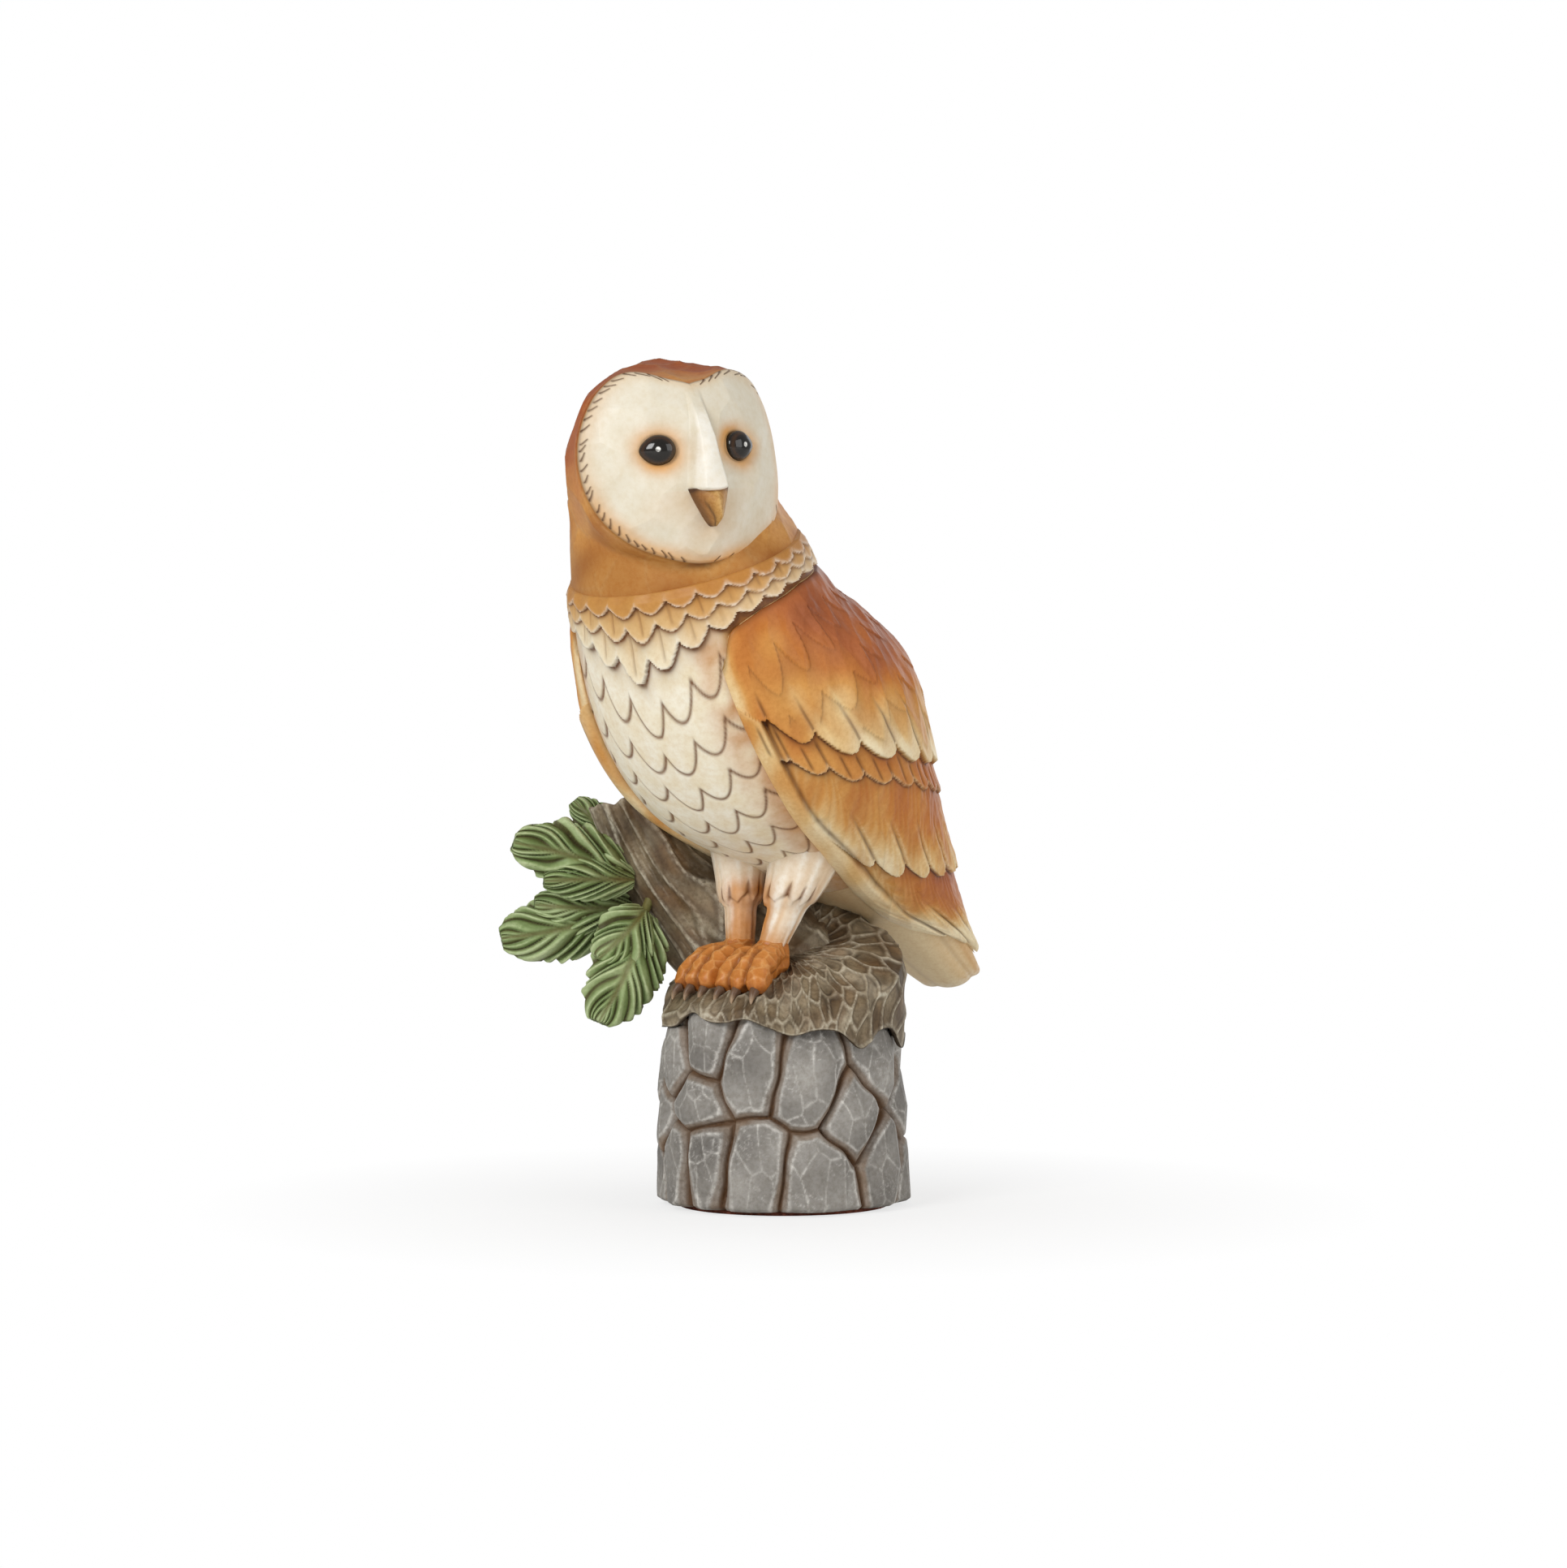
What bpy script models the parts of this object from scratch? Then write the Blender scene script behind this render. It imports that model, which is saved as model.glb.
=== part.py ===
"""Barn owl figurine on a stump and a stone plinth: cast pieces, glued and pinned. Metres, +Z up."""
import math
from collections import namedtuple

import bmesh
import bpy
import numpy as np
from mathutils import Matrix, Vector

for old in list(bpy.data.objects):
    bpy.data.objects.remove(old, do_unlink=True)

# Fits
FIT_GAP = 0.0003            # glue line between neighbouring castings
PIN_PLAY = 0.0002           # radial play of a pin in its bore

# Plinth and pad
PAD_THICKNESS = 0.0008
PAD_RADIUS = 0.0245
BASE_HEIGHT = 0.0415
BASE_FOOT_RADIUS = 0.0295
BASE_TOP_RADIUS = 0.0265
STONES_ROUND = 11
STONE_RELIEF = 0.0011
JOINT_WANDER = 0.0026
JOINT_SHARE = 0.46           # height of the joint between the courses, as a share of the plinth
BASE_DOWEL_RADIUS = 0.0025
BASE_DOWEL_DEPTH = 0.0090
BASE_DOWEL_SPACING = 0.0200

# Stump cap
STUMP_STAND = 0.0158        # top of the cap over the plinth, at its middle
STUMP_RAMP = 0.26           # rise of the top per metre towards the back
STUMP_CANT = 0.12           # rise of the top per metre towards the right
STUMP_ROUNDING = 0.0054     # how far the rim falls away, at its middle
FRONT_ROUNDING = 0.0034     # more of it at the front, less at the back
LEFT_ROUNDING = 0.0018      # more of it at the left, less at the right
HEM_WALL = 0.0016           # bark outside the plinth
HEM_DROP = 0.0022           # hem below the plinth top
HEM_CANT = 0.09             # hem falls towards the right
HEM_WAVE = 0.0022
HEM_CLEAR = 0.0020          # stones stop this far below the hem
BARK_RELIEF = 0.0007

# Limb: it stands at the edge of the stump; its tip is over the middle of the plinth top
LIMB_TURN = math.radians(121.0)     # where it stands, round the stump
LIMB_OVERHANG = 0.0007      # its foot past the stump's edge
LIMB_TIP = Vector((-0.0385, 0.0140, 0.0514))
LIMB_BEND = 0.0020
LIMB_FOOT_RADIUS = 0.0116
LIMB_TIP_RADIUS = 0.0070
LIMB_RIDGE = 0.08           # depth of the bark ridges, as a share of the radius
LIMB_BREAK = 0.0030         # jags of the broken end
LIMB_DOWEL_RADIUS = 0.0020
LIMB_DOWEL_DEPTH = 0.0060

# Sprigs: root off the limb's centre line, tip over the middle of the plinth top
Sprig = namedtuple("Sprig", "name station root tip width bow")
SPRIGS = (
    Sprig("sprig_top", 0.72, (-0.0080, 0.0070, 0.0030), (-0.0540, 0.0210, 0.0552), 0.0090, 0.0008),
    Sprig("sprig_upper", 0.62, (-0.0070, -0.0045, -0.0010), (-0.0684, -0.0030, 0.0448), 0.0185, 0.0012),
    Sprig("sprig_lower", 0.55, (-0.0085, 0.0010, -0.0050), (-0.0712, 0.0050, 0.0188), 0.0185, -0.0012),
    Sprig("sprig_hanging", 0.54, (-0.0060, -0.0075, -0.0060), (-0.0445, -0.0070, -0.0031), 0.0195, -0.0015),
    Sprig("sprig_back", 0.38, (-0.0110, 0.0030, -0.0060), (-0.0325, 0.0110, 0.0084), 0.0080, -0.0010),
)
SPRIG_THICKNESS = 0.0034
SPRIG_NEEDLES = 8
NEEDLE_RELIEF = 0.0006
NEEDLE_SWEEP = 0.0060
STEM_RADIUS = 0.0013

# Owl placement
OWL_X = -0.0046
OWL_Y = -0.0040
OWL_YAW = math.radians(-42.0)
PERCH_SINK = 0.0013         # ground of the feet below the middle of the stump top

# Owl body: sections down the spine, from the neck seam to the tail end
BODY_WIDTH = 0.0690
BODY_DEPTH = 0.0590
NECK_WIDTH = 0.0540
NECK_BREAST = 0.0262        # spine to throat, on the neck seam
NECK_NAPE = 0.0300          # spine to nape
NECK_LEAN = 20.0            # degrees the seam rises towards the nape
Section = namedtuple("Section", "back height lean width breast rump")
SECTIONS = (
    Section(-0.0270, 0.0935, NECK_LEAN, NECK_WIDTH / 2, NECK_BREAST, NECK_NAPE),
    Section(-0.0230, 0.0840, 16.0, 0.85 * BODY_WIDTH / 2, 0.46 * BODY_DEPTH, 0.44 * BODY_DEPTH),
    Section(-0.0120, 0.0710, 32.0, 0.97 * BODY_WIDTH / 2, 0.58 * BODY_DEPTH, 0.48 * BODY_DEPTH),
    Section(0.0020, 0.0550, 41.0, BODY_WIDTH / 2, 0.58 * BODY_DEPTH, 0.48 * BODY_DEPTH),
    Section(0.0170, 0.0400, 45.0, 0.85 * BODY_WIDTH / 2, 0.43 * BODY_DEPTH, 0.38 * BODY_DEPTH),
    Section(0.0330, 0.0250, 46.0, 0.64 * BODY_WIDTH / 2, 0.28 * BODY_DEPTH, 0.27 * BODY_DEPTH),
    Section(0.0500, 0.0095, 46.0, 0.42 * BODY_WIDTH / 2, 0.16 * BODY_DEPTH, 0.17 * BODY_DEPTH),
    Section(0.0660, -0.0040, 46.0, 0.28 * BODY_WIDTH / 2, 0.06 * BODY_DEPTH, 0.07 * BODY_DEPTH),
)
TAIL_SEAM = 0.0860          # spine length where the tail is glued on
TAIL_PEG_RADIUS = 0.0020
TAIL_PEG_DEPTH = 0.0070
COLLAR_LIFT = 0.0011
COLLAR_STEP = 0.0004        # run of the step at its hem
COLLAR_POINTS = 12
COLLAR_POINT_DEPTH = 0.0022
COLLAR_TURN = math.radians(10.0)    # its lowest point, towards the left wing
COLLAR_FRONT = 0.0195       # spine length of the hem there
COLLAR_SIDE = 0.0140        # 30 degrees to either side
COLLAR_BACK = 0.0066        # behind the shoulder

# Wings
WING_THICKNESS = 0.0042
WING_STEP = 0.0009          # each feather tier stands this proud of the next
WING_FEATHERS = 6
FEATHER_SCALLOP = 0.0034
TIER_SHARES = (0.0, 0.1, 0.25, 0.43, 0.6, 1.0)      # across the wing, front edge first
TIER_ONE = (0.025, 0.033, 0.0465, 0.062, 0.072, 0.084)
TIER_TWO = (0.048, 0.074, 0.088, 0.098, 0.104, 0.112)
WING_TIP = 0.1340
WING_TIP_SWEEP = 0.0240     # how far the front edge stops short of the tip
WING_TOP_CLEAR = 0.0013     # wing below the collar's hem
WING_PARTING = 0.0006       # half the parting between the wings, down the back
WING_SEAT = 0.0020          # depth the blank runs into the body before it is cut to sit on it
WING_PEG_RADIUS = 0.0020
WING_PEG_DEPTH = 0.0050
WING_PEG_STATION = 0.0450

# Head
HOOD_BACK = Vector((0.0159, 0.0351, -0.0040))    # back of the head, in the face frame
HOOD_RADIUS = 0.0238
HOOD_SWELL = 0.22           # how far the hood swells out behind the disc
CROWN_SWELL = 0.05          # more of it over the crown
NECK_RISE = 0.0200          # how far the neck runs up inside the hood
NECK_CORE_RADIUS = 0.0190   # neck at its top, inside the hood
NECK_DOWEL_RADIUS = 0.0030
NECK_DOWEL_DEPTH = 0.0100

# Face, in its own frame: x to the owl's left, z up, depth forward
FACE_OFFSET = Vector((-0.0033, -0.0134, 0.0211))    # face centre from the middle of the neck seam
FACE_YAW = math.radians(26.0)
FACE_ROLL = math.radians(-4.0)
FACE_HALF_WIDTH = 0.0252
FACE_LOBE_TOP = 0.0205
FACE_NOTCH = 0.0172
FACE_CHIN = 0.0229
FACE_DEPTH = 0.0205
FACE_CURVE = 0.0145         # how far the cheeks sweep back
FACE_NOD = 0.0068           # how far brow and chin sweep back
FACE_RIM = 0.0020
RIDGE_HEIGHT = 0.0030
RIDGE_WIDTH = 0.0034
EYE_SPREAD = 0.0096
EYE_RISE = 0.0030
EYE_WIDTH = 0.0044
EYE_HEIGHT = 0.0036
EYE_BULGE = 0.0024
BEAK_TOP = -0.0064
BEAK_TIP = -0.0152
BEAK_HALF_WIDTH = 0.0045
BEAK_REACH = 0.0055

# Legs and feet
LEG_PARTING = 0.0004        # half the gap between the thighs
HIP_BACK = 0.0060
HIP_HEIGHT = 0.0290
ANKLE_SPREAD = 0.0066
ANKLE_BACK = -0.0025
ANKLE_HEIGHT = 0.0045
THIGH_RADIUS = 0.0066
THIGH_LENGTHEN = 1.30       # thighs are this much longer fore and aft than across
SHANK_RADIUS = 0.0035
HEM_POINT = 0.0011          # points of the trouser hem
FOOT_DROP = 0.0078          # ankle to sole
TOE_LENGTH = 0.0122
TOE_RADIUS = 0.0029
TOE_PITCH = 0.0014          # toe roots stand this far apart
TOE_DROP = 0.0030           # toe roots below the ankle
TOE_FALL = 0.0078
LEFT_TOES = (-9.0, 11.0, 34.0)     # degrees outward, inner toe first
RIGHT_TOES = (-9.0, 3.0, 18.0)
CLAW_LENGTH = 0.0044
LEG_PIN_RADIUS = 0.0010
LEG_PIN_DEPTH = 0.0100

PLINTH_TOP = PAD_THICKNESS + FIT_GAP + BASE_HEIGHT
STUMP_EDGE_RADIUS = BASE_TOP_RADIUS + FIT_GAP + HEM_WALL
PERCH_Z = PLINTH_TOP + STUMP_STAND - PERCH_SINK
LEG_SPREAD = THIGH_RADIUS + LEG_PARTING
LIMB_REACH = STUMP_EDGE_RADIUS + LIMB_OVERHANG - LIMB_FOOT_RADIUS
LIMB_FOOT = Vector((LIMB_REACH * math.cos(LIMB_TURN), LIMB_REACH * math.sin(LIMB_TURN), LIMB_FOOT_RADIUS))


def material(name, colour, roughness, metallic=0.0):
    """Principled material with a plain colour."""
    made = bpy.data.materials.new(name)
    made.use_nodes = True
    shader = made.node_tree.nodes["Principled BSDF"]
    shader.inputs["Base Color"].default_value = (*colour, 1.0)
    shader.inputs["Roughness"].default_value = roughness
    shader.inputs["Metallic"].default_value = metallic
    return made


FELT = material("felt_pad", (0.16, 0.05, 0.03), 0.95)
STONE = material("painted_resin_stone", (0.37, 0.35, 0.33), 0.7)
BARK = material("painted_resin_bark", (0.25, 0.18, 0.13), 0.7)
NEEDLE = material("painted_resin_needles", (0.27, 0.39, 0.19), 0.65)
CREAM = material("painted_resin_cream", (0.81, 0.71, 0.53), 0.5)
RUSSET = material("painted_resin_russet", (0.45, 0.15, 0.05), 0.5)
OCHRE = material("painted_resin_ochre", (0.58, 0.30, 0.09), 0.5)
ORANGE = material("painted_resin_orange", (0.57, 0.20, 0.03), 0.5)
HORN = material("painted_resin_horn", (0.40, 0.20, 0.06), 0.45)
BEAD = material("gloss_black_bead", (0.01, 0.01, 0.01), 0.08)
STEEL = material("steel_rod", (0.55, 0.55, 0.56), 0.35, 1.0)
DOWEL = material("birch_dowel", (0.62, 0.45, 0.27), 0.6)


def frame_empty(name, location, yaw, roll=0.0, pitch=0.0):
    """Empty that carries the pieces of one assembly."""
    made = bpy.data.objects.new(name, None)
    made.location = location
    made.rotation_euler = (pitch, roll, yaw)
    bpy.context.scene.collection.objects.link(made)
    return made


def solid(name, mesh, mat, parent=None):
    """Turn a closed bmesh into a named object with outward faces."""
    bmesh.ops.recalc_face_normals(mesh, faces=mesh.faces)
    data = bpy.data.meshes.new(name)
    mesh.to_mesh(data)
    mesh.free()
    data.shade_smooth()
    data.set_sharp_from_angle(angle=math.radians(35.0))
    if mat:
        data.materials.append(mat)
    made = bpy.data.objects.new(name, data)
    made.parent = parent
    bpy.context.scene.collection.objects.link(made)
    return made


def helper(obj):
    """Mark an object as a cutter that is not part of the build."""
    obj.hide_render = True
    obj.display_type = "WIRE"
    return obj


def loft(name, rings, mat, parent=None):
    """Closed solid through rings of equal count; a ring of one point makes a pole."""
    mesh = bmesh.new()
    loops = [[mesh.verts.new(point) for point in ring] for ring in rings]
    for low, high in zip(loops, loops[1:]):
        count = max(len(low), len(high))
        for i in range(count):
            j = (i + 1) % count
            if len(low) == 1:
                mesh.faces.new((low[0], high[j], high[i]))
            elif len(high) == 1:
                mesh.faces.new((low[i], low[j], high[0]))
            else:
                mesh.faces.new((low[i], low[j], high[j], high[i]))
    for end in (loops[0], loops[-1]):
        if len(end) > 1:
            mesh.faces.new(end)
    return solid(name, mesh, mat, parent)


def slab(name, outer, inner, mat, parent=None):
    """Closed solid between two grids of the same size, walled round the border."""
    mesh = bmesh.new()
    top = [[mesh.verts.new(point) for point in row] for row in outer]
    low = [[mesh.verts.new(point) for point in row] for row in inner]
    rows, cols = len(top), len(top[0])
    for i in range(rows - 1):
        for j in range(cols - 1):
            mesh.faces.new((top[i][j], top[i][j + 1], top[i + 1][j + 1], top[i + 1][j]))
            mesh.faces.new((low[i][j], low[i + 1][j], low[i + 1][j + 1], low[i][j + 1]))
    border = [(0, j) for j in range(cols)] + [(i, cols - 1) for i in range(1, rows)]
    border += [(rows - 1, j) for j in range(cols - 2, -1, -1)] + [(i, 0) for i in range(rows - 2, 0, -1)]
    for (i, j), (k, m) in zip(border, border[1:] + border[:1]):
        mesh.faces.new((top[i][j], low[i][j], low[k][m], top[k][m]))
    return solid(name, mesh, mat, parent)


def rod(name, start, end, radius, mat, parent=None, sides=12):
    """Round pin between two points."""
    along = end - start
    mesh = bmesh.new()
    turn = Vector((0.0, 0.0, 1.0)).rotation_difference(along).to_matrix().to_4x4()
    place = Matrix.Translation((start + end) / 2) @ turn
    bmesh.ops.create_cone(mesh, cap_ends=True, segments=sides, radius1=radius, radius2=radius,
                          depth=along.length, matrix=place)
    return solid(name, mesh, mat, parent)


def apply_boolean(target, other, operation):
    """Add one exact Boolean to the target's stack."""
    step = target.modifiers.new(f"{operation.lower()}_{other.name}", "BOOLEAN")
    step.operation = operation
    step.solver = "EXACT"
    step.object = other


def cut(target, *cutters):
    """Subtract helper solids from a piece."""
    for cutter in cutters:
        apply_boolean(target, cutter, "DIFFERENCE")


def pin(name, start, end, radius, mat, hosts, parent=None):
    """Pin with a bore of its own size plus play, a gap longer at each end, in every host."""
    made = rod(name, start, end, radius, mat, parent)
    reach = (end - start).normalized() * FIT_GAP
    bore = helper(rod(f"{name}_bore", start - reach, end + reach, radius + PIN_PLAY, None, parent))
    for host in hosts:
        cut(host, bore)
    return made


def smooth_through(xs, ys, x):
    """Cubic curve through points, with each slope set by its neighbours."""
    xs, ys = np.asarray(xs, float), np.asarray(ys, float)
    slopes = np.gradient(ys, xs)
    x = min(max(x, xs[0]), xs[-1])
    i = min(int(np.searchsorted(xs, x, side="right")) - 1, len(xs) - 2)
    step = xs[i + 1] - xs[i]
    t = (x - xs[i]) / step
    first = (1 + 2 * t) * (1 - t) ** 2 * ys[i] + t * t * (3 - 2 * t) * ys[i + 1]
    return first + step * (t * (1 - t) ** 2 * slopes[i] - t * t * (1 - t) * slopes[i + 1])


# Plinth
def base_radius(z):
    """Radius of the plinth at a height, foot to top."""
    share = (z - PAD_THICKNESS - FIT_GAP) / BASE_HEIGHT
    return BASE_FOOT_RADIUS + share * (BASE_TOP_RADIUS - BASE_FOOT_RADIUS)


def hem_height(angle):
    """Height of the wavy lower edge of the stump's bark."""
    wave = math.sin(5 * angle + 0.6) + 0.5 * math.sin(9 * angle + 2.0)
    return PLINTH_TOP - HEM_DROP - HEM_CANT * STUMP_EDGE_RADIUS * math.cos(angle) + HEM_WAVE * wave / 2


def course_line(level, angle):
    """Height of the joint under a course of stones: foot, a wandering middle, and just under the hem."""
    foot = PAD_THICKNESS + FIT_GAP
    top = hem_height(angle) - HEM_CLEAR
    wander = JOINT_WANDER * (math.sin(3 * angle + 0.7) + 0.6 * math.sin(7 * angle))
    return (foot, foot + (PLINTH_TOP - foot) * JOINT_SHARE + wander, top)[level]


def stone_ring(level, rise, joint):
    """One level of a course: per stone a joint, two edges and a proud middle."""
    ring = []
    for stone in range(STONES_ROUND):
        start = stone + 0.45 * level + 0.16 * math.sin(2.1 * stone + level)
        end = stone + 1 + 0.45 * level + 0.16 * math.sin(2.1 * (stone + 1) % (2.1 * STONES_ROUND) + level)
        for share, relief in ((0.0, -1.0), (0.18, 0.2), (0.5 + 0.1 * math.sin(4 * stone), 0.8), (0.82, 0.2)):
            angle = 2 * math.pi * (start + share * (end - start)) / STONES_ROUND
            low, high = course_line(level, angle), course_line(level + 1, angle)
            z = low + rise * (high - low)
            radius = base_radius(z) + (-1.0 if joint else relief) * STONE_RELIEF
            ring.append((radius * math.cos(angle), radius * math.sin(angle), z))
    return ring


def build_base():
    """Two courses of stones on a flat foot, with a plain rim under the stump hem."""
    rings = [stone_ring(0, 0.0, True), stone_ring(0, 0.10, False), stone_ring(0, 0.5, False)]
    rings += [stone_ring(0, 0.90, False), stone_ring(1, 0.0, True), stone_ring(1, 0.11, False)]
    rings += [stone_ring(1, 0.55, False), stone_ring(1, 0.90, False)]
    under_hem = stone_ring(1, 1.0, True)
    rim = BASE_TOP_RADIUS - STONE_RELIEF
    for level in (None, PLINTH_TOP):
        ring = []
        for x, y, z in under_hem:
            draw = rim / math.hypot(x, y)
            ring.append((x * draw, y * draw, z if level is None else level))
        rings.append(ring)
    return loft("stone_base", rings, STONE)


base_pad = rod("base_pad", Vector((0, 0, 0)), Vector((0, 0, PAD_THICKNESS)), PAD_RADIUS, FELT, sides=48)
stone_base = build_base()


# Stump cap
def stump_top(x, y):
    """Height of the stump top: a ramp that rises to the back and falls away at the rim."""
    share = math.hypot(x, y) / STUMP_EDGE_RADIUS
    fall = STUMP_ROUNDING - (FRONT_ROUNDING * y + LEFT_ROUNDING * x) / STUMP_EDGE_RADIUS
    return PLINTH_TOP + STUMP_STAND + STUMP_RAMP * y + STUMP_CANT * x - fall * share ** 4


def build_stump(name, grow, mat):
    """Cap with bark ridges fanning over its rim and a skirt that hangs over the plinth."""
    angles = [2 * math.pi * i / 44 for i in range(44)]
    inside = BASE_TOP_RADIUS + FIT_GAP - grow
    rings = [[(0.0, 0.0, stump_top(0.0, 0.0) + grow)]]
    for share in (0.3, 0.55, 0.75, 0.89, 0.97, 1.0):
        ring = []
        for i, angle in enumerate(angles):
            ridge = BARK_RELIEF * math.sin(2.5 * i + 1.4 * math.sin(0.9 * i + 4 * share)) * share ** 2
            radius = STUMP_EDGE_RADIUS * share + grow * share
            x, y = radius * math.cos(angle), radius * math.sin(angle)
            flat = min(radius, STUMP_EDGE_RADIUS) / radius
            ring.append((x, y, stump_top(x * flat, y * flat) + ridge + grow))
        rings.append(ring)
    for radius, lift in ((STUMP_EDGE_RADIUS, 0.0045), (STUMP_EDGE_RADIUS, 0.0)):
        wavy = [radius + grow + BARK_RELIEF * math.sin(2.5 * i + 1.4 * math.sin(0.9 * i)) for i in range(44)]
        rings.append([(r * math.cos(a), r * math.sin(a), hem_height(a) + lift - (0.0 if lift else grow))
                      for r, a in zip(wavy, angles)])
    rings.append([(inside * math.cos(a), inside * math.sin(a), hem_height(a) - grow) for a in angles])
    floor = PLINTH_TOP + FIT_GAP - grow
    rings.append([(inside * math.cos(a), inside * math.sin(a), floor) for a in angles])
    rings.append([(0.0, 0.0, floor)])
    return loft(name, rings, mat)


stump_cap = build_stump("stump_cap", 0.0, BARK)
stump_clear = helper(build_stump("stump_clear", FIT_GAP, None))

# Frames of the owl
owl = frame_empty("owl_frame", (OWL_X, OWL_Y, PERCH_Z), OWL_YAW)
lengths = [0.0]
for before, after in zip(SECTIONS, SECTIONS[1:]):
    lengths.append(lengths[-1] + math.hypot(after.back - before.back, after.height - before.height))
neck_seam = Matrix.Rotation(OWL_YAW, 3, "Z") @ Vector((0.0, SECTIONS[0].back, SECTIONS[0].height))
neck_seam += Vector((OWL_X, OWL_Y, PERCH_Z))
neck_frame = frame_empty("neck_frame", neck_seam, OWL_YAW, pitch=math.radians(NECK_LEAN))
face_frame = frame_empty("face_frame", neck_seam + FACE_OFFSET, FACE_YAW, FACE_ROLL)


def spine(length):
    """Section of the body at a length down the spine."""
    return Section(*(smooth_through(lengths, column, length) for column in zip(*SECTIONS)))


def body_point(length, angle, lift=0.0):
    """Point on the body: angle 0 is the breast, pi the back; lift is outward."""
    s = spine(length)
    lean = math.radians(s.lean)
    depth = s.breast if math.cos(angle) > 0 else s.rump
    across, fore = s.width * math.sin(angle), depth * math.cos(angle)
    normal = Vector((math.sin(angle) / s.width, math.cos(angle) / depth)).normalized()
    across += lift * normal.x
    fore += lift * normal.y
    return Vector((across, s.back - fore * math.cos(lean), s.height - fore * math.sin(lean)))


def collar_hem(angle):
    """Spine length of the collar's lower edge round the body."""
    side = abs((angle - COLLAR_TURN + math.pi) % (2 * math.pi) - math.pi)
    values = (COLLAR_FRONT, COLLAR_SIDE, (COLLAR_SIDE + 2 * COLLAR_BACK) / 3, COLLAR_BACK, COLLAR_BACK)
    return float(np.interp(side, np.radians((0, 30, 60, 90, 180)), values))


def collar_edge(index, angle):
    """Spine length of the collar's hem with its points, which fade out towards the back."""
    notch = abs(index % 4 - 2) / 2 * max(0.0, math.cos(angle)) ** 0.5
    return max(collar_hem(angle) - COLLAR_POINT_DEPTH * notch, 0.0)


def torso_rings(grow):
    """Rings of the egg-shaped body from the neck seam to the tail seam, with a raised, pointed collar."""
    count = 4 * COLLAR_POINTS
    angles = [2 * math.pi * i / count for i in range(count)]
    edge = [collar_edge(i, a) for i, a in enumerate(angles)]
    up = Vector((0.0, -math.sin(math.radians(NECK_LEAN)), math.cos(math.radians(NECK_LEAN)))) * grow
    rings = [[body_point(0.0, a, grow) + up for a in angles]]
    for share in (0.5, 1.0):
        rings.append([body_point(share * e, a, COLLAR_LIFT + grow) for e, a in zip(edge, angles)])
    rings.append([body_point(e + COLLAR_STEP, a, grow) for e, a in zip(edge, angles)])
    for share in (0.10, 0.24, 0.40, 0.56, 0.72, 0.87, 1.0):
        rings.append([body_point(collar_hem(a) + share * (TAIL_SEAM - collar_hem(a)), a, grow) for a in angles])
    return rings


def tail_rings(grow, start, count):
    """Rings of the tapered tail from a spine length to its blunt end."""
    angles = [2 * math.pi * i / count for i in range(count)]
    run = lengths[-1] - start
    return [[body_point(start + share * run, a, grow) for a in angles] for share in (0.0, 0.25, 0.5, 0.75, 1.0)]


torso = loft("torso", torso_rings(0.0), CREAM, owl)
tail = loft("tail", tail_rings(0.0, TAIL_SEAM + FIT_GAP, 32), CREAM, owl)
whole_body = torso_rings(FIT_GAP) + tail_rings(FIT_GAP, TAIL_SEAM, 4 * COLLAR_POINTS)[1:]
body_clear = helper(loft("body_clear", whole_body, None, owl))


# Wings
def wing_front(length):
    """Angle of the wing's front edge at a length down the spine."""
    knots = (0.0, 0.018, 0.045, 0.060, 0.075, 0.090, 0.103, 0.110, 0.118, 0.129, 0.137)
    return math.radians(smooth_through(knots, (46, 44, 41, 38, 34, 29, 29, 38, 52, 73, 88), length))


def wing_back(length):
    """Angle of the wing's back edge, a parting's width from the middle of the back."""
    return math.pi - math.asin(min(0.9, WING_PARTING / spine(length).width))


def tier_edge(line, share):
    """Spine length of a tier's feather tips across the wing."""
    tip = abs(math.sin(math.pi * WING_FEATHERS * share)) ** 0.7
    return smooth_through(TIER_SHARES, line, share) + FEATHER_SCALLOP * (tip - 0.5)


def wing_rows(side, share):
    """Spine lengths and lifts down one column of the wing, tier by tier."""
    angle = wing_front(0.02) + share * (math.pi - wing_front(0.02))
    top = collar_hem(side * angle) + WING_TOP_CLEAR
    one, two = tier_edge(TIER_ONE, share), tier_edge(TIER_TWO, share)
    tip = WING_TIP - WING_TIP_SWEEP * max(0.0, 1 - 2 * share) ** 2 - 0.006 * max(0.0, 2 * share - 1) ** 2
    full = WING_THICKNESS
    rows = [(top, full - 2 * WING_STEP), (top + 0.3 * (one - top), full), (top + 0.7 * (one - top), full)]
    rows += [(one, full), (one + 0.0004, full - WING_STEP)]
    rows += [(one + 0.5 * (two - one), full - WING_STEP), (two, full - WING_STEP)]
    rows += [(two + 0.0004, full - 2 * WING_STEP)]
    rows += [(two + part * (tip - two), full - (2 + part) * WING_STEP) for part in (0.35, 0.7, 1.0)]
    return rows


def build_wing(name, side, grow, mat):
    """Wing shell that lies on torso and tail, three tiers of scalloped feathers."""
    columns = 4 * WING_FEATHERS
    outer, inner = [], []
    for j in range(columns + 1):
        share = j / columns
        up, low = [], []
        for length, lift in wing_rows(side, share):
            angle = wing_front(length) + share * (wing_back(length) - wing_front(length))
            edge = 0.55 + 0.45 * min(1.0, 6 * share, 6 * (1 - share))
            up.append(body_point(length, side * angle, lift * edge + grow))
            low.append(body_point(length, side * angle, -WING_SEAT))
        outer.append(up)
        inner.append(low)
    return slab(name, outer, inner, mat, owl)


left_wing = build_wing("left_wing", 1, 0.0, RUSSET)
right_wing = build_wing("right_wing", -1, 0.0, RUSSET)
for wing in (left_wing, right_wing):
    cut(wing, body_clear)

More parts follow.
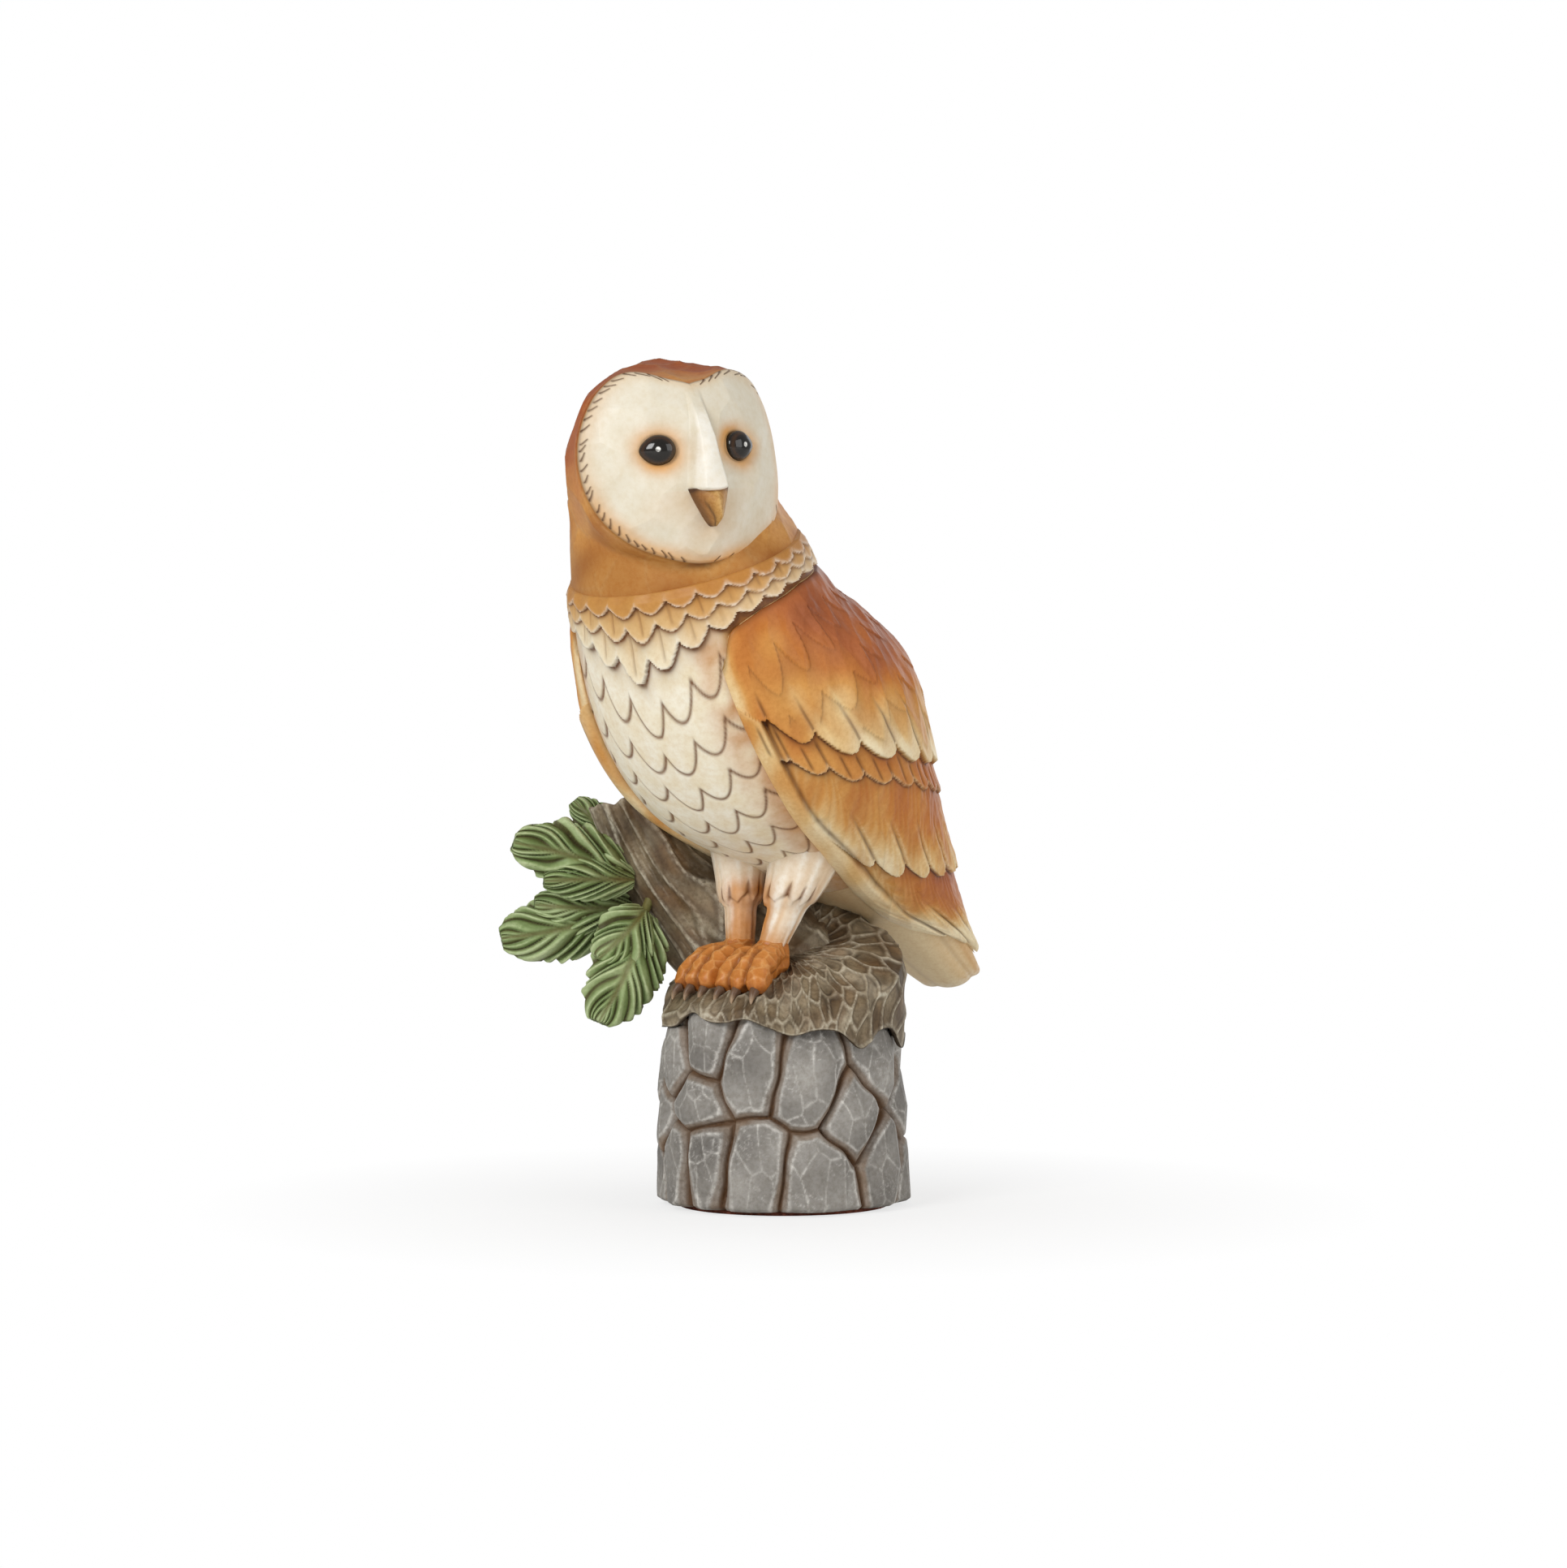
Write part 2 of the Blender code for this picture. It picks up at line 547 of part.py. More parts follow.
# Head and face
def face_outline(angle):
    """Radius of the heart-shaped disc: lobes either side of a notch, broad cheeks, round chin."""
    turn = abs((angle - math.pi / 2 + math.pi) % (2 * math.pi) - math.pi)
    knots = np.radians((0, 14, 32, 52, 72, 90, 112, 135, 158, 180))
    width = FACE_HALF_WIDTH
    radii = (FACE_NOTCH, FACE_NOTCH * 1.14, FACE_LOBE_TOP * 1.23, width * 0.985, width * 0.985, width,
             width * 1.02, width * 1.01, FACE_CHIN * 1.02, FACE_CHIN)
    return smooth_through(knots, radii, turn)


def face_ring(share, grow):
    """Points of the disc's outline, drawn in to a share of its size."""
    for angle in np.arange(40) * math.pi / 20:
        radius = (face_outline(angle) + grow) * share
        yield radius * math.cos(angle), radius * math.sin(angle)


def face_dome(x, z):
    """Forward depth of the plain disc."""
    return FACE_DEPTH - FACE_CURVE * (x / FACE_HALF_WIDTH) ** 2 - FACE_NOD * ((z + 0.004) / FACE_CHIN) ** 2


def face_depth(x, z):
    """Forward depth of the disc's front: domed, with a nose ridge and a hollow round each eye."""
    dome = face_dome(x, z)
    along = 1.0 / (1.0 + math.exp(-(z - BEAK_TOP + 0.002) / 0.0015))
    ridge = RIDGE_HEIGHT * math.exp(-(x / RIDGE_WIDTH) ** 2) * along
    hollow = 0.0016 * math.exp(-((abs(x) - EYE_SPREAD) ** 2 + (z - EYE_RISE) ** 2) / 0.0065 ** 2)
    return dome + ridge - hollow


def build_face(name, grow, mat):
    """Dished disc with a rim; the back runs level behind the front."""
    rings = [[(0.0, -face_depth(0.0, 0.0) - grow, 0.0)]]
    for share in (0.14, 0.28, 0.42, 0.58, 0.74, 0.88, 1.0):
        rings.append([(x, -face_depth(x, z) - grow, z) for x, z in face_ring(share, grow)])
    for share in (1.0, 0.7, 0.35):
        rings.append([(x, -face_dome(x, z) + FACE_RIM + grow, z) for x, z in face_ring(share, grow)])
    rings.append([(0.0, -face_dome(0.0, 0.0) + FACE_RIM + grow, 0.0)])
    return loft(name, rings, mat, face_frame)


def hood_point(angle, turn):
    """Point of the hood: from the disc's rim (turn 0) it swells out and closes at the back of the head."""
    ease = min(1.0, turn / 0.5)
    ease = ease * ease * (3 - 2 * ease)
    radius = face_outline(angle) * (1 - ease) + HOOD_RADIUS * ease
    x, z = radius * math.cos(angle), radius * math.sin(angle)
    depth = (-face_dome(x, z) + FACE_RIM + FIT_GAP) * (1 - ease)
    swell = HOOD_SWELL + CROWN_SWELL * max(0.0, math.sin(angle)) ** 2
    spread = math.cos(turn) + swell * math.sin(2 * turn)
    return HOOD_BACK * math.sin(turn) + Vector((x * spread, depth * math.cos(turn), z * spread))


def build_head():
    """Hood behind the disc, grown together with a neck that ends flat on the seam."""
    angles = np.arange(40) * math.pi / 20
    rings = [[(0.0, -face_dome(0.0, 0.0) + FACE_RIM + FIT_GAP, 0.0)]]
    for share in (0.35, 0.7):
        rings.append([(x, -face_dome(x, z) + FACE_RIM + FIT_GAP, z) for x, z in face_ring(share, 0.0)])
    for turn in np.radians((0, 7, 16, 27, 40, 54, 68, 80)):
        rings.append([hood_point(a, turn) for a in angles])
    rings.append([HOOD_BACK])
    hood = loft("head", rings, OCHRE, face_frame)
    neck = []
    for share in (0.0, 0.5, 1.0):
        ring = []
        for a in angles:
            depth = NECK_NAPE if math.sin(a) > 0 else NECK_BREAST
            x, y = NECK_WIDTH / 2 * math.cos(a), depth * math.sin(a)
            draw = 1 + share * (NECK_CORE_RADIUS / math.hypot(x, y) - 1)
            ring.append((x * draw, y * draw, share * NECK_RISE))
        neck.append(ring)
    apply_boolean(hood, helper(loft("neck_core", neck, None, neck_frame)), "UNION")
    below = rod("below_seam", Vector((0, 0, -0.05)), Vector((0, 0, FIT_GAP)), 0.08, None, neck_frame, 32)
    cut(hood, helper(below))
    return hood


def build_eye(name, side, grow, mat):
    """Lens-shaped bead set in the face."""
    x = side * EYE_SPREAD
    mesh = bmesh.new()
    place = Matrix.Translation((x, -face_depth(x, EYE_RISE), EYE_RISE))
    turn = Matrix.Rotation(side * math.radians(24.0), 4, "Z")
    size = Matrix.Diagonal((EYE_WIDTH + grow, EYE_BULGE + grow, EYE_HEIGHT + grow, 1.0))
    bmesh.ops.create_uvsphere(mesh, u_segments=16, v_segments=8, radius=1.0, matrix=place @ turn @ size)
    return solid(name, mesh, mat, face_frame)


def build_beak():
    """Short hooked beak: sections from the cere down to the tip."""
    rings = []
    for share, wide, reach in ((0.0, 1.0, 0.25), (0.3, 0.92, 0.75), (0.65, 0.62, 1.0), (1.0, 0.16, 0.72)):
        z = BEAK_TOP + share * (BEAK_TIP - BEAK_TOP)
        front = face_depth(0.0, BEAK_TOP - 0.004) + reach * BEAK_REACH
        back = face_depth(0.0, z) - 0.5 * FACE_RIM
        half = BEAK_HALF_WIDTH * wide
        rings.append([(half, -back, z), (0.62 * half, -(0.45 * back + 0.55 * front), z), (0.0, -front, z),
                      (-0.62 * half, -(0.45 * back + 0.55 * front), z), (-half, -back, z)])
    return loft("beak", rings, HORN, face_frame)


head = build_head()
face_disc = build_face("face_disc", 0.0, CREAM)
cut(head, helper(build_face("face_seat", 0.8 * FIT_GAP, None)))
cut(face_disc, body_clear)
beak = build_beak()
cut(beak, helper(build_face("face_clear", FIT_GAP, None)))
for eye_side, eye_name in ((1, "left_eye"), (-1, "right_eye")):
    build_eye(eye_name, eye_side, 0.0, BEAD)
    cut(face_disc, helper(build_eye(f"{eye_name}_socket", eye_side, FIT_GAP, None)))
    cut(head, helper(build_eye(f"{eye_name}_relief", eye_side, FIT_GAP, None)))


# Legs and feet
def ring_about(centre, axis, radius, count, phase=0.0, stretch=1.0):
    """Ring of points about a centre, square to an axis."""
    turn = Vector((0.0, 0.0, 1.0)).rotation_difference(axis).to_matrix()
    return [centre + turn @ Vector((radius * stretch * math.cos(2 * math.pi * i / count + phase),
                                    radius * math.sin(2 * math.pi * i / count + phase), 0.0))
            for i in range(count)]


def build_leg(name, side, grow, mat):
    """Feathered thigh, long fore and aft, with a pointed hem over a bare shank."""
    hip = Vector((side * LEG_SPREAD, HIP_BACK, HIP_HEIGHT))
    ankle = Vector((side * ANKLE_SPREAD, ANKLE_BACK, ANKLE_HEIGHT + FIT_GAP))
    axis = (ankle - hip).normalized()
    rings = []
    for share, radius, longer in ((0.0, 1.0, THIGH_LENGTHEN), (0.28, 0.98, THIGH_LENGTHEN), (0.45, 0.84, 1.1)):
        thigh = ring_about(hip.lerp(ankle, share), axis, THIGH_RADIUS * radius + grow, 16)
        rings.append([Vector((p.x, HIP_BACK + (p.y - HIP_BACK) * longer, p.z)) for p in thigh])
    hem = ring_about(hip.lerp(ankle, 0.58), axis, SHANK_RADIUS * 1.25 + grow, 16)
    rings.append([p + axis * (HEM_POINT if i % 2 else -HEM_POINT) for i, p in enumerate(hem)])
    for share in (0.63, 0.8, 1.0):
        rings.append(ring_about(hip.lerp(ankle, share), axis, SHANK_RADIUS + grow, 16))
    leg = loft(name, rings, mat, owl)
    return leg, hip, ankle, axis


def build_toe(name, root, spread, grow):
    """Toe that bends over the stump edge and ends in a curved claw."""
    ahead = Vector((math.sin(spread), -math.cos(spread), 0.0))
    down = Vector((0.0, 0.0, -1.0))
    points = []
    knuckles = ((0.0, 0.0, 0.85), (0.28, 0.10, 1.0), (0.62, 0.42, 1.02), (0.90, 0.84, 0.95), (1.0, 1.0, 0.72))
    for run, fall, radius in knuckles:
        points.append((root + ahead * TOE_LENGTH * run + down * TOE_FALL * fall, TOE_RADIUS * radius + grow))
    last = points[-1][0]
    for run, fall, radius in ((0.45, 0.45, 0.46), (0.55, 1.0, 0.14)):
        points.append((last + (ahead * run + down * fall) * CLAW_LENGTH, TOE_RADIUS * radius + grow))
    rings = []
    for i, (centre, radius) in enumerate(points):
        before, after = points[max(i - 1, 0)][0], points[min(i + 1, len(points) - 1)][0]
        rings.append(ring_about(centre, (after - before).normalized(), radius, 8, 0.3 + 0.05 * i))
    return helper(loft(name, rings, None, owl))


def build_foot(name, side, ankle, axis, grow, mat):
    """Ankle pad with three toes grown into it."""
    top = ankle + axis * FIT_GAP
    sole = ankle + Vector((0.0, -0.3 * FOOT_DROP, -FOOT_DROP))
    rings = [ring_about(top, axis, SHANK_RADIUS * 0.98 + grow, 16)]
    rings.append(ring_about(top.lerp(sole, 0.45), axis, SHANK_RADIUS * 1.12 + grow, 16))
    rings.append(ring_about(sole, axis, SHANK_RADIUS * 1.05 + grow, 16))
    foot = loft(name, rings, mat, owl)
    for index, degrees in enumerate(LEFT_TOES if side > 0 else RIGHT_TOES):
        root = ankle + Vector((side * (index - 1) * TOE_PITCH, 0.0, -TOE_DROP))
        toe = build_toe(f"{name}_toe_{index}", root, side * math.radians(degrees), grow)
        apply_boolean(foot, toe, "UNION")
    return foot


for leg_side, label in ((1, "left"), (-1, "right")):
    leg, hip, ankle, axis = build_leg(f"{label}_leg", leg_side, 0.0, CREAM)
    cut(leg, body_clear)
    foot = build_foot(f"{label}_foot", leg_side, ankle, axis, 0.0, ORANGE)
    cut(foot, stump_clear)
    pin(f"{label}_leg_pin", hip - axis * LEG_PIN_DEPTH, ankle + axis * (FOOT_DROP / 2 + LEG_PIN_DEPTH),
        LEG_PIN_RADIUS, STEEL, (torso, leg, foot, stump_cap), owl)
leg_clear, hip, ankle, axis = build_leg("right_leg_clear", -1, FIT_GAP, None)
foot_clear = build_foot("right_foot_clear", -1, ankle, axis, FIT_GAP, None)


# Limb
def limb_point(share):
    """Centre line of the limb, bowed a little outward."""
    bow = LIMB_BEND * math.sin(math.pi * share)
    return LIMB_FOOT.lerp(LIMB_TIP, share) + Vector((-bow, 0.0, PLINTH_TOP - bow))


def build_limb(name, grow, mat):
    """Tapered, ridged limb with a slant broken end."""
    rings = []
    for share in (-0.05, 0.12, 0.3, 0.5, 0.7, 0.87, 1.0):
        axis = (limb_point(share + 0.01) - limb_point(share - 0.01)).normalized()
        radius = LIMB_FOOT_RADIUS + max(share, 0.0) * (LIMB_TIP_RADIUS - LIMB_FOOT_RADIUS) + grow
        ring = ring_about(limb_point(share), axis, radius, 14, 0.2)
        ring = [p + (p - limb_point(share)) * LIMB_RIDGE * (1 if i % 2 else -1) for i, p in enumerate(ring)]
        if share == 1.0:
            ring = [p + axis * (LIMB_BREAK * math.sin(2.6 * i) + grow) for i, p in enumerate(ring)]
        rings.append(ring)
    rings.append([limb_point(1.0) + axis * (grow - 0.4 * LIMB_BREAK)])
    return loft(name, rings, mat)


limb = build_limb("limb", 0.0, BARK)
limb_clear = helper(build_limb("limb_clear", FIT_GAP, None))
cut(limb, stump_clear, body_clear, helper(build_wing("right_wing_clear", -1, FIT_GAP, None)))
cut(limb, helper(leg_clear), helper(foot_clear))
limb_seat = limb_point(0.12)
limb_run = (limb_point(0.3) - limb_seat).normalized() * LIMB_DOWEL_DEPTH
pin("limb_dowel", limb_seat - limb_run, limb_seat + limb_run, LIMB_DOWEL_RADIUS, DOWEL, (limb, stump_cap))


# Sprigs
def build_sprig(name, bud, root, tip, facing, width, bow):
    """Flat sprig: a midrib with swept needles either side, standing on a short stem."""
    along = tip - root
    length = along.length
    along.normalize()
    across = along.cross(facing).normalized()
    out = across.cross(along)
    outer, inner = [], []
    for i in range(2 * SPRIG_NEEDLES + 1):
        share = i / (2 * SPRIG_NEEDLES)
        half = width / 2 * (0.20 + 0.80 * math.sin(math.pi * min(1.0, 0.06 + 0.97 * share)) ** 0.62)
        full = math.sin(math.pi * share) ** 0.5
        arch = bow * math.sin(math.pi * share)
        ridge = i % 2
        up, low = [], []
        for place in (-1.0, -0.52, 0.0, 0.52, 1.0):
            reach = half * place * (1.0 if ridge or not place else 0.84)
            run = share * (length - NEEDLE_SWEEP) + NEEDLE_SWEEP * abs(place) * 0.9 * full
            thick = SPRIG_THICKNESS / 2 * (1 - 0.72 * place * place) * (0.35 + 0.65 * full)
            relief = (NEEDLE_RELIEF if ridge else -NEEDLE_RELIEF) * (0.0 if not place else 1.0)
            spot = root + along * run + across * (reach + arch)
            up.append(spot + out * (thick + max(relief, -0.6 * thick)))
            low.append(spot - out * thick)
        outer.append(up)
        inner.append(low)
    sprig = slab(name, outer, inner, NEEDLE)
    stem = helper(rod(f"{name}_stem", bud, root + along * length * 0.15, STEM_RADIUS, None, sides=10))
    apply_boolean(sprig, stem, "UNION")
    cut(sprig, limb_clear, stump_clear)
    return sprig


front = Vector((0.0, -1.0, 0.0))
for item in SPRIGS:
    bud = limb_point(item.station)
    tip = Vector(item.tip) + Vector((0.0, 0.0, PLINTH_TOP))
    build_sprig(item.name, bud, bud + Vector(item.root), tip, front, item.width, item.bow)

# Pins that hold the castings together
for label, side in (("left", -1), ("right", 1)):
    spot = Vector((side * BASE_DOWEL_SPACING / 2, 0.0020, PLINTH_TOP))
    reach = Vector((0.0, 0.0, BASE_DOWEL_DEPTH))
    pin(f"{label}_base_dowel", spot - reach, spot + reach, BASE_DOWEL_RADIUS, DOWEL, (stone_base, stump_cap))
reach = Vector((0.0, 0.0, NECK_DOWEL_DEPTH))
pin("neck_dowel", -reach, reach, NECK_DOWEL_RADIUS, DOWEL, (torso, head), neck_frame)


def spine_point(length):
    """Middle of the body at a length down the spine."""
    s = spine(length)
    return Vector((0.0, s.back, s.height))


middle = spine_point(TAIL_SEAM)
reach = (spine_point(TAIL_SEAM + 0.01) - middle).normalized() * TAIL_PEG_DEPTH
pin("tail_peg", middle - reach, middle + reach, TAIL_PEG_RADIUS, DOWEL, (torso, tail), owl)
for label, side, wing in (("left", 1, left_wing), ("right", -1, right_wing)):
    foot_point = body_point(WING_PEG_STATION, side * math.radians(95.0))
    outward = Vector((side, 0.0, 0.0))
    pin(f"{label}_wing_peg", foot_point - outward * WING_PEG_DEPTH, foot_point + outward * WING_THICKNESS * 0.5,
        WING_PEG_RADIUS, DOWEL, (torso, wing), owl)
cut(stump_cap, body_clear)
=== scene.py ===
import bpy
import numpy as np
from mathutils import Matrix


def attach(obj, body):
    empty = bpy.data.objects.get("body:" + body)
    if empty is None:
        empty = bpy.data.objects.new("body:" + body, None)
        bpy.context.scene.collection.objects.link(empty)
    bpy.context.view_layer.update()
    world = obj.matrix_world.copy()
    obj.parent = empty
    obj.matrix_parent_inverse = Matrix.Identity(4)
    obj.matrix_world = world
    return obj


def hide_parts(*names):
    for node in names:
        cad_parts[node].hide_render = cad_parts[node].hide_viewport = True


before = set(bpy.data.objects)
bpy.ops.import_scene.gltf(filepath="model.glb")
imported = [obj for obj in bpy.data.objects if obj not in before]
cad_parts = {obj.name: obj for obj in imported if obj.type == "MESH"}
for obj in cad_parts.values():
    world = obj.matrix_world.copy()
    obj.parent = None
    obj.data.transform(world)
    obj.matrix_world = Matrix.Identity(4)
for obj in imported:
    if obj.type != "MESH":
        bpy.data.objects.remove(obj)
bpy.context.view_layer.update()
mm = 0.001
turn = 2 * np.pi
hands = (("left", 1), ("right", -1))  # the owl's own sides
upright = np.array((0, 0, 1.0))
paintKeys = ("tone", "wash", "brush", "blush")
scene = bpy.context.scene
scene.view_settings.view_transform = "Standard"
print("frame loaded:", len(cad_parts), "nodes")


def toLinear(code):
    # sRGB hex to linear light: c / 12.92 in the dark, ((c + 0.055) / 1.055) ^ 2.4 above
    c = np.array([int(code[i:i + 2], 16) for i in (1, 3, 5)]) / 255
    return (*np.where(c <= 0.04045, c / 12.92, ((c + 0.055) / 1.055) ** 2.4), 1.0)


def addNode(tree, kind, sockets=None, stops=None, **settings):
    # one node with its settings; each socket takes a value or a link, a ramp takes its stops
    node = tree.nodes.new("ShaderNode" + kind)
    for key, value in settings.items():
        setattr(node, key, value)
    for key, value in (sockets or {}).items():
        if isinstance(value, bpy.types.NodeSocket):
            tree.links.new(value, node.inputs[key])
        else:
            node.inputs[key].default_value = value
    for i, (place, code) in enumerate(stops or ()):
        stop = node.color_ramp.elements[i] if i < 2 else node.color_ramp.elements.new(place)
        stop.position, stop.color = place, toLinear(code)
    return node


def newTree(name):
    # an empty node material, its output and its shader, joined
    made = bpy.data.materials.new(name)
    made.use_nodes = True
    tree = made.node_tree
    tree.nodes.clear()
    shader = addNode(tree, "BsdfPrincipled")
    addNode(tree, "OutputMaterial", {"Surface": shader.outputs[0]})
    return made, tree, shader


def coat(tree, colour, code, amount, noise, low, high, least):
    # one paint over another: its amount times the noise, stretched from low..high to least..1
    patch = addNode(tree, "MapRange", {0: noise, 1: low, 2: high, 3: least, 4: 1.0}).outputs[0]
    amount = addNode(tree, "Math", {0: amount, 1: patch}, operation="MULTIPLY").outputs[0]
    return addNode(tree, "Mix", {0: amount, 6: colour, 7: toLinear(code)}, data_type="RGBA").outputs[2]


def paintedResin(name, s):
    # cast resin, painted by hand: a colour run by the tone attribute, a blush rubbed over it, a dark
    # wash left in the cuts that also carries painted shade, pale dry brush on the ridges that also carries
    # painted highlights, and a satin varnish that breaks up the gloss a little
    made, tree, shader = newTree(name)
    place = addNode(tree, "TexCoord").outputs["Object"]
    cloud, fine = (addNode(tree, "TexNoise", {"Vector": place, "Scale": 1 / s[key], "Detail": detail,
                                              "Roughness": rough}).outputs[0]
                   for key, detail, rough in (("cloud", 4.0, 0.6), ("fine", 3.0, 0.65)))
    read = {key: addNode(tree, "Attribute", attribute_name=key).outputs["Fac"] for key in paintKeys}
    drift = addNode(tree, "Math", {0: cloud, 1: s["drift"], 2: -s["drift"] / 2}, operation="MULTIPLY_ADD")
    tone = addNode(tree, "Math", {0: read["tone"], 1: drift.outputs[0]}, operation="ADD", use_clamp=True)
    colour = addNode(tree, "ValToRGB", {0: tone.outputs[0]}, s["run"]).outputs[0]
    colour = coat(tree, colour, s["blush"], read["blush"], cloud, 0.3, 0.7, 0.55)
    speck = addNode(tree, "ValToRGB", {0: fine}, ((0.25, s["shade"]), (0.6, "#ffffff"))).outputs[0]
    colour = addNode(tree, "Mix", {0: 1.0, 6: colour, 7: speck}, data_type="RGBA",
                     blend_type="MULTIPLY").outputs[2]
    colour = coat(tree, colour, s["wash"], read["wash"], fine, 0.25, 0.6, 0.75)
    colour = coat(tree, colour, s["brush"], read["brush"], fine, 0.35, 0.6, 0.25)
    dull, duller = s["rough"]
    gloss = addNode(tree, "MapRange", {0: cloud, 1: 0.3, 2: 0.7, 3: dull, 4: duller})
    grain = addNode(tree, "Bump", {"Strength": s["grain"], "Distance": 0.25 * mm, "Height": fine})
    for key, value in (("Base Color", colour), ("Roughness", gloss.outputs[0]), ("Normal", grain.outputs[0])):
        tree.links.new(value, shader.inputs[key])
    shader.inputs["Specular IOR Level"].default_value = s.get("sheen", 0.3)
    return made


def smoothThrough(xs, ys, x):
    # cubic curve through the points, each slope taken from its neighbours
    xs, ys = np.asarray(xs, float), np.asarray(ys, float)
    slopes = np.gradient(ys, xs)
    x = np.clip(x, xs[0], xs[-1])
    i = np.clip(np.searchsorted(xs, x, side="right") - 1, 0, len(xs) - 2)
    step = xs[i + 1] - xs[i]
    t = (x - xs[i]) / step
    first = (1 + 2 * t) * (1 - t) ** 2 * ys[i] + t * t * (3 - 2 * t) * ys[i + 1]
    return first + step * (t * (1 - t) ** 2 * slopes[i] - t * t * (1 - t) * slopes[i + 1])


def ease(low, high, x):
    # smooth step from 0 at low to 1 at high
    t = np.clip((x - low) / (high - low), 0, 1)
    return t * t * (3 - 2 * t)


def clamp(x):
    # held between 0 and 1
    return np.clip(x, 0, 1)


def circle(count):
    # one row of angles, evenly round
    return (np.arange(count) * turn / count)[None]


def column(low, high, count):
    # one column of even steps from low to high
    return np.linspace(low, high, count)[:, None]


def fold(angle):
    # the same angle between minus and plus half a turn
    return (angle + np.pi) % turn - np.pi


def at(*parts):
    # points from their coordinates, each spread over the others' rows and columns
    return np.stack(np.broadcast_arrays(*parts), -1)


def drum(r, a, z):
    # points at a radius, an angle from the front and a height
    return at(r * np.sin(a), -r * np.cos(a), z)


def wander(points, size, seed):
    # soft drift, about -1 to 1: six sine waves in fixed directions, each about one size long
    dice = np.random.default_rng(seed)
    ways = dice.normal(size=(6, 3))
    ways *= (dice.uniform(0.7, 1.5, 6) / np.linalg.norm(ways, axis=1))[:, None]
    return np.sin(points @ ways.T * (turn / size) + dice.uniform(0, turn, 6)).sum(-1) / 2.6


def mottle(points, size, seed):
    # the same drift, about 0 to 1
    return 0.5 + 0.5 * wander(points, size, seed)


def scatter(wide, tall, uStep, vStep, seed):
    # staggered grid of points, each moved by up to a third of its step; columns close on themselves
    # over wide
    dice = np.random.default_rng(seed)
    cols, rows = max(3, round(wide / uStep)), int(tall / vStep) + 2
    i, j = np.meshgrid(np.arange(cols), np.arange(rows))
    u = (i + 0.5 * (j % 2) + dice.uniform(-0.33, 0.33, i.shape)) * wide / cols
    v = (j - 0.5 + dice.uniform(-0.33, 0.33, i.shape)) * vStep
    return at(u.ravel(), v.ravel())


def nearestTwo(spot, seeds, wide=None):
    # distance to the nearest and to the second nearest seed, and which is nearest; the first direction
    # closes on itself over wide
    first, second = np.full(spot.shape[:-1], 9.0), np.full(spot.shape[:-1], 9.0)
    which = np.zeros(first.shape, int)
    for k, seed in enumerate(seeds):
        gap = spot - seed
        if wide:
            gap[..., 0] = (gap[..., 0] + wide / 2) % wide - wide / 2
        d = np.sqrt((gap * gap).sum(-1))
        second = np.where(d < first, first, np.minimum(second, d))
        which = np.where(d < first, k, which)
        first = np.minimum(first, d)
    return first, second, which


def shingles(across, down, count, pitch, width, drop, point):
    # rows of overlapping tips: row r ends at (r + 1) pitch - drop |2f - 1|^point, f the place across
    # one feather, every second row half a feather aside. Gives the row, f, and the run to the own tip
    # and past the tip above
    row = np.full(down.shape, count)
    share, left, past = np.zeros(down.shape), np.full(down.shape, 1.0), np.full(down.shape, 1.0)
    for r in range(count):
        f = (across + 0.5 * (r % 2)) % 1.0
        side = np.abs(2 * f - 1)
        gap = (r + 1) * pitch - drop * side ** point - down
        gap = gap / np.hypot(1, 2 * drop * point * side ** (point - 1) / width)
        here = (row == count) & (gap > 0)
        row, share, left = np.where(here, r, row), np.where(here, f, share), np.where(here, gap, left)
        past = np.where(row == count, -gap, past)
    return row, share, left, past


def line(distance, half):
    # soft stroke: 1 on the line, falling off over half its width
    return np.exp(-(distance / half) ** 2)


def shell(grid, paint):
    # closed shell from rows of points: quads between rows, columns closed, a fan to the middle of each
    # end row, turned so that its volume is positive
    rows, cols, _ = grid.shape
    i, j = np.arange(rows - 1)[:, None] * cols, np.arange(cols)[None]
    k = (j + 1) % cols
    quads = at(i + j, i + k, i + cols + k, i + cols + j).reshape(-1, 4)
    n = rows * cols
    fans = np.concatenate([at(np.full(cols, n), k[0], j[0]),
                           at(np.full(cols, n + 1), n - cols + j[0], n - cols + k[0])])
    points = np.concatenate([grid.reshape(-1, 3), grid[:1].mean(1), grid[-1:].mean(1)])
    a, b, c, d = (points[quads[:, m]] for m in range(4))
    e, f, g = (points[fans[:, m]] for m in range(3))
    volume = (np.cross(a, b) * c + np.cross(a, c) * d).sum() + (np.cross(e, f) * g).sum()
    if volume < 0:
        quads, fans = quads[:, ::-1], fans[:, ::-1]
    values = {}
    for key, value in paint.items():
        value = np.broadcast_to(value, (rows, cols))
        values[key] = np.concatenate([value.ravel(), [value[0].mean(), value[-1].mean()]])
    return points, quads, fans, values


